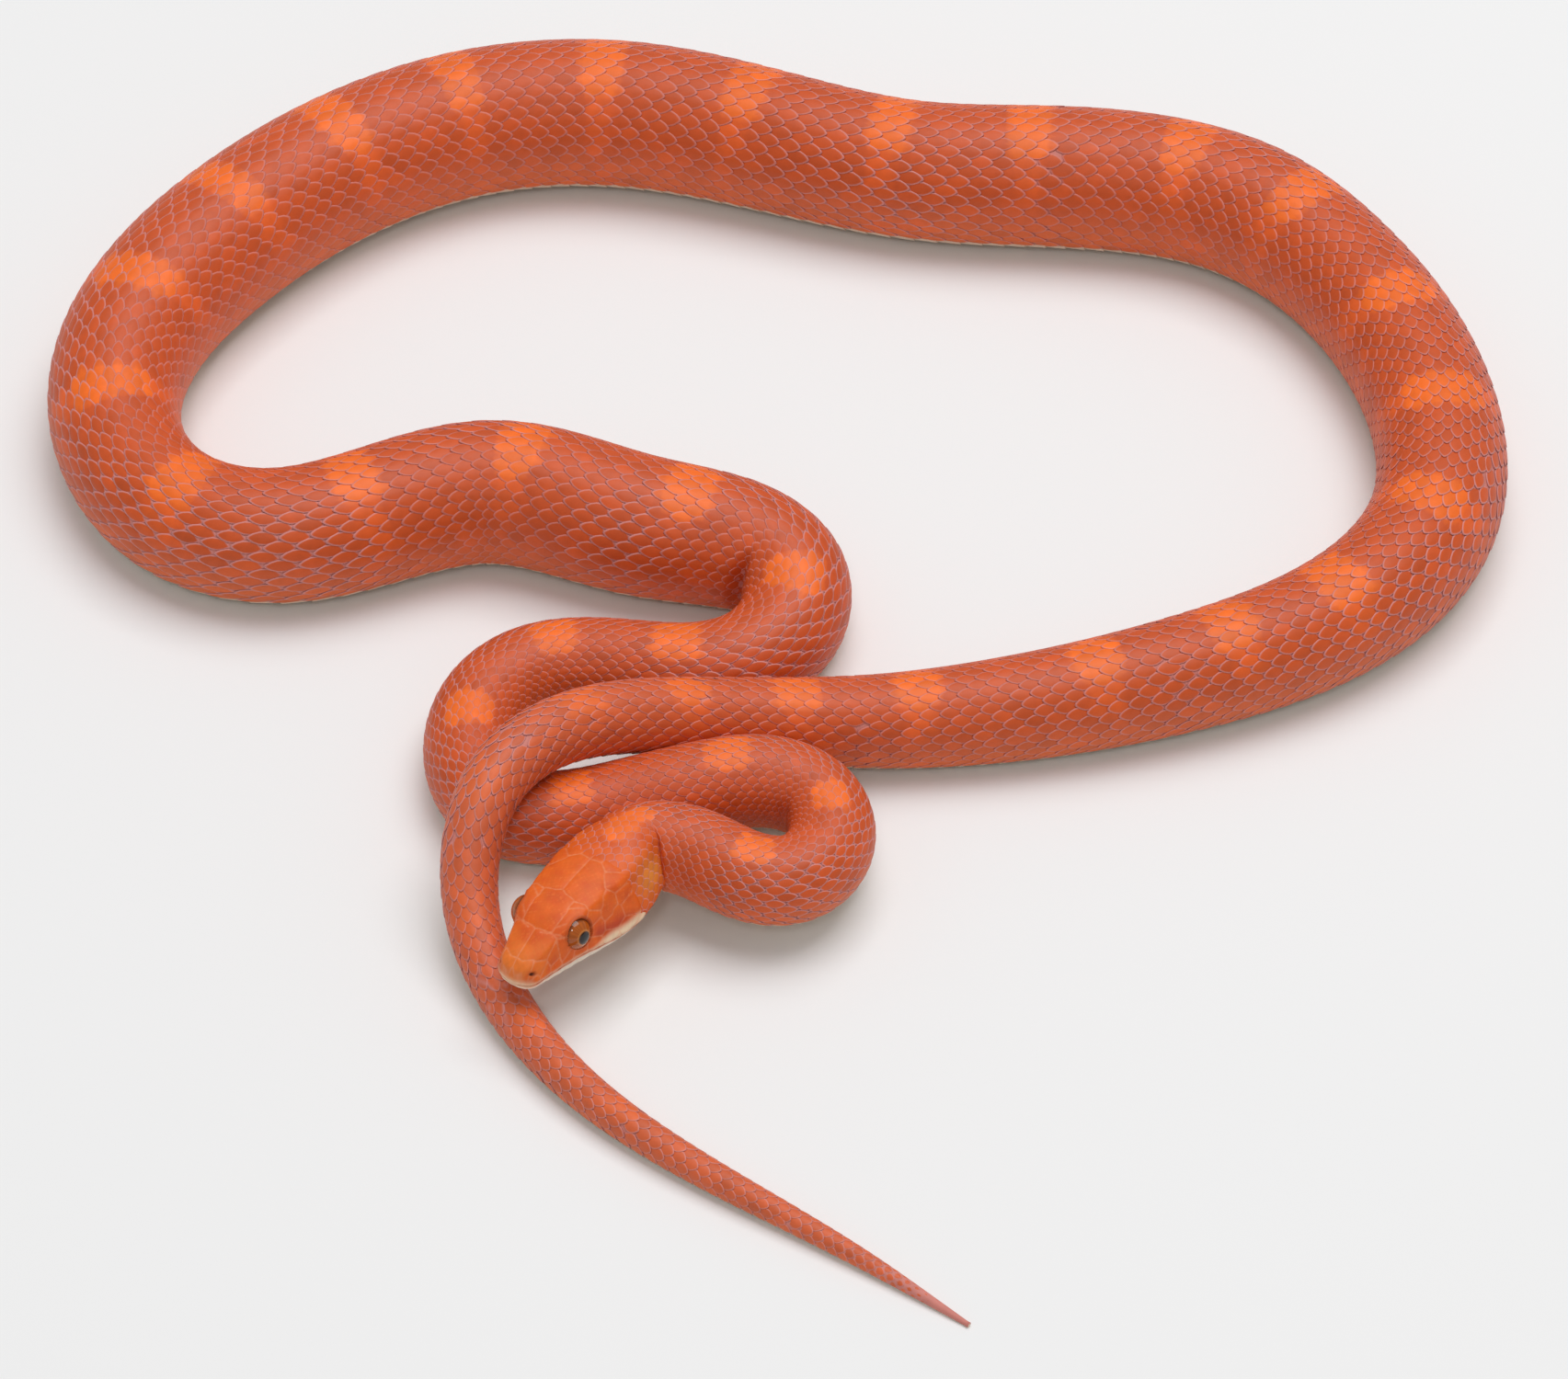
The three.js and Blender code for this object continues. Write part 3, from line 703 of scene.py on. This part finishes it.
def scale_layout_tree():
    """Geometry Nodes that set one plate on each point of a flat sheet of skin."""
    tree = bpy.data.node_groups.new("lay_scales", "GeometryNodeTree")
    face = tree.interface
    inputs = {"Places": "Geometry", "Plate": "Object", "Size": "Float", "Finish": "Material"}
    for label, kind in inputs.items():
        face.new_socket(label, in_out="INPUT", socket_type="NodeSocket" + kind)
    face.new_socket("Scales", in_out="OUTPUT", socket_type="NodeSocketGeometry")
    nodes, links = tree.nodes, tree.links
    start, end = nodes.new("NodeGroupInput"), nodes.new("NodeGroupOutput")
    plate = nodes.new("GeometryNodeObjectInfo")
    links.new(start.outputs["Plate"], plate.inputs["Object"])
    size = nodes.new("GeometryNodeInputNamedAttribute")
    size.data_type = "FLOAT_VECTOR"
    size.inputs["Name"].default_value = "plate_size"
    turn = nodes.new("GeometryNodeInputNamedAttribute")
    turn.data_type = "FLOAT_VECTOR"
    turn.inputs["Name"].default_value = "plate_turn"
    sized = nodes.new("ShaderNodeVectorMath")
    sized.operation = "SCALE"
    links.new(size.outputs["Attribute"], sized.inputs[0])
    links.new(start.outputs["Size"], sized.inputs["Scale"])
    lay = nodes.new("GeometryNodeInstanceOnPoints")
    links.new(start.outputs["Places"], lay.inputs["Points"])
    links.new(plate.outputs["Geometry"], lay.inputs["Instance"])
    links.new(turn.outputs["Attribute"], lay.inputs["Rotation"])
    links.new(sized.outputs["Vector"], lay.inputs["Scale"])
    real = nodes.new("GeometryNodeRealizeInstances")
    finish = nodes.new("GeometryNodeSetMaterial")
    links.new(lay.outputs["Instances"], real.inputs["Geometry"])
    links.new(real.outputs["Geometry"], finish.inputs["Geometry"])
    links.new(start.outputs["Finish"], finish.inputs["Material"])
    links.new(finish.outputs["Geometry"], end.inputs["Scales"])
    return tree


scale_tree = scale_layout_tree()


def run_layout(name, places, sizes, turns, plate, material):
    """Runs the tree on points and returns the made mesh, still lying flat."""
    sheet = bpy.data.meshes.new(name + "_places")
    sheet.from_pydata(places.tolist(), [], [])
    for label, values in (("plate_size", sizes), ("plate_turn", turns)):
        attribute = sheet.attributes.new(label, "FLOAT_VECTOR", "POINT")
        attribute.data.foreach_set("vector", np.asarray(values, np.float32).ravel())
    holder = bpy.data.objects.new(name + "_places", sheet)
    bpy.context.scene.collection.objects.link(holder)
    modifier = holder.modifiers.new("lay", "NODES")
    modifier.node_group = scale_tree
    sockets = {s.name: s.identifier for s in scale_tree.interface.items_tree if s.in_out == "INPUT"}
    modifier[sockets["Plate"]] = plate
    modifier[sockets["Size"]] = 1.0
    modifier[sockets["Finish"]] = material
    graph = bpy.context.evaluated_depsgraph_get()
    mesh = bpy.data.meshes.new_from_object(holder.evaluated_get(graph))
    mesh.name = name
    bpy.data.objects.remove(holder)
    piece = bpy.data.objects.new(name, mesh)
    bpy.context.scene.collection.objects.link(piece)
    return piece


BAKE_PATCH = 0.003
UNWRAP_BEFORE, UNWRAP_AFTER = 40, 20


def bake_patches(piece, root_s, root_angle, local):
    """Each plate's own small patch of the unwrapped skin, at the place of its root."""
    u = (root_s + UNWRAP_BEFORE) / (SPINE_LENGTH + UNWRAP_BEFORE + UNWRAP_AFTER)
    v = (root_angle + math.pi) / (2 * math.pi)
    uv = np.repeat(np.stack([u, v], 1), len(local), 0) + BAKE_PATCH * np.tile(local, (len(root_s), 1))
    layer = piece.data.uv_layers.new(name="OFBake")
    vertex = np.empty(len(piece.data.loops), np.int32)
    piece.data.loops.foreach_get("vertex_index", vertex)
    layer.data.foreach_set("uv", uv[vertex].astype(np.float32).ravel())


def wrap_plates(piece, radius, sunk):
    """Bends a flat sheet of plates round the snake; returns where each point lies."""
    flat = np.empty(len(piece.data.vertices) * 3)
    piece.data.vertices.foreach_get("co", flat)
    flat = flat.reshape(-1, 3)
    s, angle = flat[:, 0], flat[:, 1] / np.repeat(radius, len(flat) // len(radius))
    laid = lay_on_snake(s, angle, flat[:, 2] - sunk)
    piece.data.vertices.foreach_set("co", (laid * mm).astype(np.float32).ravel())
    piece.data.update()
    return s, angle, laid


COAT_STRETCHES = {
    "scales_neck": (-20, 90), "scales_loops": (90, 210), "scales_forebody": (210, 350),
    "scales_left_bend": (350, 490), "scales_back": (490, 630), "scales_right_bend": (630, 770),
    "scales_hindbody": (770, 900), "scales_tail": (900, 1200),
}
SCALE_HEIGHT = 0.95
SCALE_SUNK = 0.1
FULL_PITCH = 4.4
SIZE_UNEVEN = 0.03
TURN_UNEVEN = math.radians(1.6)
SHADE_UNEVEN = 0.05
# The chin rests on the tail here, and creases its skin into a star of pale rays
snout_rest = lay_on_snake(1044, -0.35, 0)
REST_RAYS = 5
REST_FROM, REST_REACH = 3, 8.5
for name, (begin, end) in COAT_STRETCHES.items():
    mine = np.flatnonzero((plate_s >= begin) & (plate_s < end))
    root_s, root_angle, radius = plate_s[mine], plate_angle[mine], plate_radius[mine]
    size_jitter, turn_jitter, shade_jitter = plate_jitter[mine].T
    places = np.stack([root_s, root_angle * radius, 0 * root_s], 1)
    size_step = 1 + SIZE_UNEVEN * size_jitter
    thick = SCALE_HEIGHT * np.clip(plate_pitch[mine] / FULL_PITCH, 0.3, 1.1)
    sizes = np.stack([plate_length[mine] * size_step, plate_width[mine] * radius * size_step, thick], 1)
    turns = np.outer(TURN_UNEVEN * turn_jitter, [0, 0, 1])
    piece = run_layout(name, places, sizes, turns, one_scale, scale_material)
    s, angle, laid = wrap_plates(piece, radius, SCALE_SUNK)
    per = len(plate_points)
    colour = mix(np.repeat(scale_colour(root_s, root_angle), per, 0), scale_colour(s, angle), 0.45)
    colour *= np.repeat(1 + SHADE_UNEVEN * shade_jitter, per)[:, None]
    if name == "scales_tail":
        from_rest = laid - snout_rest
        star = np.cos(np.arctan2(from_rest[:, 1], from_rest[:, 0]) * REST_RAYS + 0.6)
        fades = 1 - ramp(np.linalg.norm(from_rest, axis=1), REST_FROM, REST_REACH)
        colour = mix(colour, SCALE_EDGE, 0.55 * np.maximum(star, 0) ** 12 * fades)
    # Each plate's rim is painted pale, partly as pale skin and partly as a painted satin highlight,
    # more where the scales part
    pale_rim_and_sheen_share = np.repeat(0.5 + 0.34 * plate_open[mine], per) * np.tile(plate_rims, len(mine))
    paint(piece, mix(colour, SCALE_EDGE, pale_rim_and_sheen_share))
    bake_patches(piece, root_s, root_angle, plate_points[:, :2] * [0.8, 0.6])
    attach(piece, "root")
bpy.data.objects.remove(one_scale)


# Belly scutes: broad ivory plates of horn across the belly, one for each pitch of
# the scales and fixed like them, and pairs of shorter ones under the tail.
SCUTE_COLUMNS = 11
SCUTE_ROWS = np.array([-0.62, -0.2, 0.25, 0.44, 0.5])
SCUTE_TILT = 0.22
SCUTE_SWEEP = 0.12
SCUTE_ROOT_DEPTH = 0.1
SCUTE_THICKNESS = 0.14
SCUTE_HEIGHT = 0.9
SCUTE_SUNK = 0.12
SCUTES_FROM = -9
SCUTES_TO = SPINE_LENGTH - 8
VENT_AT = 960
PAIR_STAGGER = 0.3


def scute_mesh():
    """One broad plate from -1 to 1 across, its free edge towards the tail."""
    rows, columns = len(SCUTE_ROWS), SCUTE_COLUMNS
    low = rows * columns
    points, rims, faces = [], [], []
    for sunk in (0, SCUTE_THICKNESS):
        for x in SCUTE_ROWS:
            for y in np.linspace(-1, 1, columns):
                top = SCUTE_TILT * (x + 0.6) - SCUTE_ROOT_DEPTH
                points.append((x - SCUTE_SWEEP * abs(y) ** 3, y, top - sunk))
                rims.append(1 if x > 0.4 or abs(y) > 0.97 else 0)
    for start in (0, low):
        for i in range(rows - 1):
            for j in range(columns - 1):
                a = start + i * columns + j
                quad = (a, a + columns, a + columns + 1, a + 1)
                faces.append(quad[::-1] if start else quad)
    border = list(range(columns))
    border += [i * columns + columns - 1 for i in range(1, rows)]
    border += [(rows - 1) * columns + j for j in range(columns - 2, -1, -1)]
    border += [i * columns for i in range(rows - 2, 0, -1)]
    for a, b in zip(border, border[1:] + border[:1]):
        faces.append((a, b, b + low, a + low))
    return np.array(points), faces, np.array(rims)


scute_points, scute_faces, scute_rims = scute_mesh()
one_scute = mesh_piece("one_scute", scute_points, scute_faces)
scute_count = np.arange(math.ceil(pitch_count[0]), math.floor(pitch_count[-1]))
scute_s = np.interp(scute_count + 0.25, pitch_count, fine_s)
scute_s = scute_s[(scute_s > SCUTES_FROM) & (scute_s < SCUTES_TO)]
half_open = math.pi - np.interp(scute_s, fine_s, ventral_at)
scutes_laid = []
for s, half in zip(scute_s, half_open):
    if s < VENT_AT:
        scutes_laid.append((s, math.pi, half * 1.02))
    else:
        scutes_laid.append((s, math.pi - half * 0.5, half * 0.52))
        scutes_laid.append((s + PAIR_STAGGER, math.pi + half * 0.5, half * 0.52))
root_s, root_angle, half_wide = np.array(scutes_laid).T
radius = np.interp(np.maximum(root_s, 0), along, radius_along)
pitch = smooth_rows(SCALE_PITCH, root_s)
places = np.stack([root_s, root_angle * radius, 0 * root_s], 1)
thick = SCUTE_HEIGHT * np.clip(pitch / FULL_PITCH, 0.3, 1.1)
sizes = np.stack([pitch, half_wide * radius, thick], 1)
scute_material = tinted_skin(
    "belly_scute", roughness=0.35, specular=0.5, coat=0.15, grain=2400, bump=0.15)
scutes = run_layout("belly_scutes", places, sizes, 0 * places, one_scute, scute_material)
s, angle, laid = wrap_plates(scutes, radius, SCUTE_SUNK)
towards_edge = np.abs(angle % (2 * math.pi) - math.pi) / half_open.mean()
tint = mix(BELLY_IVORY, FLANK_ORANGE, ramp(towards_edge, 0.75, 1.1) * 0.6)
paint(scutes, mix(tint, BELLY_IVORY * 0.8, 0.5 * np.tile(scute_rims, len(root_s))))
bake_patches(scutes, root_s, root_angle % (2 * math.pi) - math.pi, scute_points[:, :2] * 0.5)
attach(scutes, "root")
bpy.data.objects.remove(one_scute)


# Head skin: smooth horn shields grown over the skull, parted by fine seams, with
# lips, a shut mouth, nostrils and a rim round each eye, in one skin with the throat.
EYE_BACK, EYE_OUT, EYE_UP, EYE_RADIUS = 12.6, 4.75, 4.2, 3.1
EYE_OPENING = math.radians(61)
EYE_FACES = unit(np.array([0.1, 1, 0.24]))
NOSTRIL_BACK, NOSTRIL_UP = 2.1, 2.35
HEAD_ROUND = 320
DOME_HEIGHT = 0.07
SEAM_DEPTH = 0.05
MOUTH_DEPTH = 0.45
LIP_HEIGHT = 0.16
ORBIT_RIM_HEIGHT = 0.12
ORBIT_DEPTH = 0.7
NOSTRIL_DEPTH = 0.75
# Where the shields end, and the skin sinks by this much under the neck's scales
FACE_ENDS = 27.5
NECK_SUNK = 0.25

# Rings stand close at the snout, evenly over the face and wide inside the neck
head_back = np.concatenate([
    0.02 + 3 * np.linspace(0, 1, 34) ** 1.6, np.arange(3.12, 27.5, 0.16), np.arange(27.6, 40, 0.4)])
head_angle = np.linspace(-math.pi, math.pi, HEAD_ROUND, endpoint=False)
grid_back, grid_round = np.meshgrid(head_back, head_angle, indexing="ij")
reach = look_up(head_table, np.minimum(grid_back, HEAD_LENGTH), BACK_STEP, grid_round)
out = -reach * np.sin(grid_round)
up = NECK_RISE + reach * np.cos(grid_round)

# Seeds of the shields: name, then (distance back, distance round from the crown)
SHIELDS = {
    "rostral": [(0.1, 0), (0.1, 1.2)],
    "internasal": [(1.0, 1.0), (1.8, 2.6)],
    "nasal": [(2.4, 4.4), (3.6, 5.0)],
    "prefrontal": [(4.0, 1.2), (5.2, 3.4), (6.4, 1.7), (6.4, 3.5)],
    "loreal": [(6.9, 6.2)],
    "preocular": [(9, 6.6), (9.1, 8)],
    "supraocular": [(10.6, 5.2), (12.4, 5.5), (14.3, 5.3)],
    "frontal": [(10.9, 0), (10.9, 1.4), (13, 0), (13, 1.3), (14.6, 1.0), (15, 0)],
    "parietal": [
        (18, 1.6), (20, 1.9), (22, 2.0), (23.6, 1.2), (18, 4.2), (19.4, 4.6), (21, 3.4), (17.8, 6.4)],
    "upper_postocular": [(16.3, 8.2)],
    "lower_postocular": [(16.3, 10.4)],
    "temporal_1": [(19.4, 9.6), (20.6, 8.6)],
    "temporal_2": [(19.4, 11.6), (20.8, 11.4)],
    "temporal_3": [(23.8, 6.8)],
    "temporal_4": [(23.6, 9.2)],
    "temporal_5": [(24, 11.6)],
    "nuchal_1": [(27, 3.9)],
    "nuchal_2": [(27.2, 0.7)],
}
# Creases in the skin over and in front of the eye: from, to
CREASES = [((13.8, 3.1), (15.6, 5.5)), ((8.1, 1.3), (9.6, 5.8)), ((9.8, 3.2), (11.3, 4.6))]
CREASE_WIDTH = 0.16
# Where the shields along the lips stand, distance back
LABIAL_PLACES = (1.9, 4.0, 6.3, 8.9, 11.6, 14.5, 17.9, 22)
around = np.zeros_like(out)
step = np.hypot(np.diff(out, axis=1), np.diff(up, axis=1))
crown_column = HEAD_ROUND // 2
around[:, crown_column + 1:] = np.cumsum(step[:, crown_column:], axis=1)
around[:, :crown_column] = np.cumsum(step[:, :crown_column][:, ::-1], axis=1)[:, ::-1]
over_mouth = up - smooth_rows(MOUTH_LINE, grid_back.ravel()).reshape(grid_back.shape)
lip_column = np.abs(np.where(np.cos(grid_round) > -0.5, over_mouth, 9)).argmin(1)
lip_around = around[np.arange(len(head_back)), lip_column]
shields = list(SHIELDS.values())
for place, lip in zip(LABIAL_PLACES, np.interp(LABIAL_PLACES, head_back, lip_around)):
    shields += [[(place, lip - 1)], [(place + 0.8, lip + 1.3)], [(place + 1.5, lip + 3.6)]]
# A spot belongs to the shield with the nearest seed; seams run where two are as near
from_shields = np.stack([
    np.min([np.hypot(grid_back - seed_back, around - seed_round) for seed_back, seed_round in seeds], 0)
    for seeds in shields])
nearest_two = np.partition(from_shields, 1, axis=0)[:2]
# Paired shields also part along the middle line
unpaired = [list(SHIELDS).index(shield) for shield in ("rostral", "frontal")]
middle_seam = np.where(np.isin(from_shields.argmin(0), unpaired), 9, around)
seam_distance = np.minimum((nearest_two[1] - nearest_two[0]) / 2, middle_seam)
shielded = 1 - ramp(grid_back, FACE_ENDS - 1.5, FACE_ENDS)
seam = (1 - ramp(seam_distance, 0.04, 0.2)) * shielded
for start, stop in CREASES:
    run = np.subtract(stop, start)
    part = np.clip(((grid_back - start[0]) * run[0] + (around - start[1]) * run[1]) / (run @ run), 0, 1)
    off = np.hypot(grid_back - start[0] - part * run[0], around - start[1] - part * run[1])
    seam = np.maximum(seam, 0.9 * np.exp(-(off / CREASE_WIDTH) ** 2))
# Below the mouth the seams hardly show
seam *= 1 - 0.8 * ramp(-over_mouth, 0, 0.5)
domed = ramp(seam_distance, 0, 0.9) * shielded
lip_seam = 1 - ramp(np.abs(over_mouth), 0.03, 0.22)
lip_seam *= (grid_back < FACE_ENDS) * (np.cos(grid_round) > -0.9)

# Where a ray from the middle of the head leaves the ball of the eye
ray_out, ray_up = np.abs(np.sin(grid_round)), np.cos(grid_round)
reach_along = ray_out * EYE_OUT + ray_up * (EYE_UP - NECK_RISE)
slice_squared = EYE_RADIUS ** 2 - (grid_back - EYE_BACK) ** 2
inside_squared = reach_along ** 2 - EYE_OUT ** 2 - (EYE_UP - NECK_RISE) ** 2 + slice_squared
on_ball = (inside_squared > 0) & (slice_squared > 0)
ball_reach = reach_along + np.sqrt(np.maximum(inside_squared, 0))
from_centre = np.stack([
    EYE_BACK - grid_back, ray_out * ball_reach - EYE_OUT, NECK_RISE + ray_up * ball_reach - EYE_UP], -1)
facing = from_centre @ EYE_FACES / EYE_RADIUS
off_gaze = np.where(on_ball, np.arccos(np.clip(facing, -1, 1)), math.pi)
orbit = 1 - ramp(off_gaze, EYE_OPENING - 0.05, EYE_OPENING + 0.02)
orbit_rim = np.exp(-((off_gaze - EYE_OPENING - 0.12) / 0.1) ** 2)
nostril = np.exp(-(((grid_back - NOSTRIL_BACK) / 0.42) ** 2 + ((up - NOSTRIL_UP) / 0.34) ** 2))
nostril *= np.abs(out) > 2
lip = np.exp(-((over_mouth - 0.6) / 0.5) ** 2) * (grid_back < 27)
height = (
    DOME_HEIGHT * domed - SEAM_DEPTH * seam - MOUTH_DEPTH * lip_seam + LIP_HEIGHT * lip
    + ORBIT_RIM_HEIGHT * orbit_rim - NOSTRIL_DEPTH * nostril)
# The skin hugs the ball of the eye, and dips behind it within the orbit
hugging = np.maximum(reach + height, np.where(on_ball, ball_reach + 0.1 + 0.1 * orbit_rim, 0))
dipped = np.minimum(ball_reach - ORBIT_DEPTH, reach + height)
reach_now = hugging * (1 - orbit) + dipped * orbit
head_points = carry_head(np.stack([
    -grid_back, -reach_now * np.sin(grid_round), NECK_RISE + reach_now * np.cos(grid_round)], -1))
# Behind the face it sinks under the first scales, and ends inside the neck
relief = np.where(grid_back > HEAD_LENGTH, 0, height)
sunk = relief - NECK_SUNK * ramp(grid_back, FACE_ENDS - 2, FACE_ENDS)
under_scales = lay_on_snake(grid_back - HEAD_LENGTH, grid_round, sunk)
head_points = np.where((grid_back > 24)[..., None], under_scales, head_points)

SNOUT_ORANGE = np.array(linear(232, 118, 46))
LIP_CREAM = np.array(linear(240, 214, 178))
CHIN_CREAM = np.array(linear(244, 234, 212))
SEAM_PALE = np.array(linear(232, 150, 110))
STREAK_RED = np.array(linear(188, 58, 22))
# Painted shade on the skin in the socket round the ball of the eye, and a little of it on the rim round
# the socket
EYE_SOCKET_SHADE = np.array(linear(120, 58, 34))
# Painted shade in the slit of the shut mouth, and darker painted shade in the nostrils
MOUTH_AND_NOSTRIL_SHADE = np.array(linear(140, 70, 50))
tone = ripple(grid_back * 0.45, around * 0.5, 0.7)
fine_tone = ripple(grid_back * 1.9, around * 2.1, 1.9)
speckle = ripple(grid_back * 3.1, around * 3.7, 3.3)
# a dark red streak runs from the eye back along the jaw
streak_up = over_mouth - 3.1 + 0.05 * (grid_back - 15)
streak = np.exp(-(streak_up / 1.1) ** 2) * ramp(grid_back, 14.5, 16) * (1 - ramp(grid_back, 21, 27))
lip_reach = 0.9 + 1.3 * ramp(grid_back, 13, 19)
upper_lip = (1 - ramp(over_mouth, lip_reach * 0.5, lip_reach * 1.15)) * ramp(over_mouth, -0.4, 0)
snout_tip = (1 - ramp(grid_back, 0.8, 2.2)) * (1 - ramp(over_mouth, 0.3, 1.8))
head_tint = CROWN_ORANGE
for colour, share in (
    (SNOUT_ORANGE, 1 - ramp(grid_back, 1, 10)),
    (TEMPLE_RED, 0.8 * ramp(tone + 0.5 * fine_tone, -0.5, 0.8)),
    (SNOUT_ORANGE, 0.5 * ramp(speckle + 0.5 * fine_tone, 0.15, 0.9)),
    (STREAK_RED, 0.75 * streak),
    (LIP_CREAM, (0.45 + 0.45 * ramp(grid_back, 13, 18)) * upper_lip),
    (LIP_CREAM, 0.6 * snout_tip),
    (CHIN_CREAM, 1 - ramp(over_mouth, -0.9, -0.1)),
    (SEAM_PALE, (0.38 + 0.22 * fine_tone) * seam),
    # painted shade in the mouth's slit
    (MOUTH_AND_NOSTRIL_SHADE, 0.75 * lip_seam),
    # painted shade in the eye's socket and a little on its rim
    (EYE_SOCKET_SHADE, np.clip(orbit + 0.35 * orbit_rim, 0, 1)),
    # painted shade in the nostrils
    (MOUTH_AND_NOSTRIL_SHADE * 0.4, np.clip(nostril * 1.2, 0, 1)),
):
    head_tint = mix(head_tint, colour, share)

head_material = tinted_skin(
    "head_shield", roughness=0.5, specular=0.36, coat=0, grain=900, bump=0.55)
head_skin = closed_sleeve("head_skin", head_points, head_material, flip=True)
paint_sleeve(head_skin, head_tint * (1 + 0.07 * fine_tone)[..., None])
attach(head_skin, "root")
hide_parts("head", "lower_jaw")


# Eyes: a glossy clear cap over an amber iris with a round dark pupil. A snake
# has no lids: the cap is part of its skin.
IRIS_AMBER = np.array(linear(176, 88, 26))
IRIS_EDGE = np.array(linear(86, 44, 26))
PUPIL_DARK = np.array(linear(22, 8, 6))
PUPIL_RING = np.array(linear(206, 128, 60))
PUPIL_HALF_ANGLE = math.radians(23)
IRIS_HALF_ANGLE = math.radians(62)
GAZE_FORWARD, GAZE_UP = 0.16, 0.12
EYE_RINGS, EYE_ROUND = 49, 64
IRIS_RAYS = 23

eye_finish, eye_shader = material_with_shader("eye", roughness=0.12, specular=0.15)
eye_tree = eye_finish.node_tree
eye_shader.inputs["Coat Weight"].default_value = 0.7
eye_shader.inputs["Coat Roughness"].default_value = 0.02
eye_tint = eye_tree.nodes.new("ShaderNodeAttribute")
eye_tint.attribute_name = "tint"
eye_tree.links.new(eye_tint.outputs["Color"], eye_shader.inputs["Base Color"])

polar = np.linspace(0, math.pi, EYE_RINGS)[1:-1]
spin = np.linspace(0, 2 * math.pi, EYE_ROUND, endpoint=False)
off_axis, turn = np.meshgrid(polar, spin, indexing="ij")
rays = 0.5 + 0.5 * np.sin(turn * IRIS_RAYS + 2 * np.sin(turn * 5))
eye_colour = mix(IRIS_AMBER * 0.8, IRIS_AMBER * 1.2, rays * 0.6)
ring_share = 0.8 * np.exp(-((off_axis - PUPIL_HALF_ANGLE * 1.12) / 0.06) ** 2)
eye_colour = mix(eye_colour, PUPIL_RING, ring_share)
eye_colour = mix(eye_colour, IRIS_EDGE, ramp(off_axis, IRIS_HALF_ANGLE * 0.86, IRIS_HALF_ANGLE * 1.08))
past_pupil = ramp(off_axis, PUPIL_HALF_ANGLE * 0.95, PUPIL_HALF_ANGLE * 1.05)
eye_colour = mix(PUPIL_DARK, eye_colour, past_pupil)
for name, side in (("eye_left", 1), ("eye_right", -1)):
    gaze = unit(np.array([GAZE_FORWARD, side, GAZE_UP]))
    first = unit(np.cross(gaze, [0, 0, 1]))
    second = np.cross(gaze, first)
    around_gaze = np.cos(turn)[..., None] * first + np.sin(turn)[..., None] * second
    ball = EYE_RADIUS * (np.cos(off_axis)[..., None] * gaze + np.sin(off_axis)[..., None] * around_gaze)
    placed = carry_head(ball + [-EYE_BACK, side * EYE_OUT, EYE_UP])
    eye = closed_sleeve(name + "_ball", placed, eye_finish, flip=False)
    paint_sleeve(eye, eye_colour)
    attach(eye, "root")
    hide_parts(name)
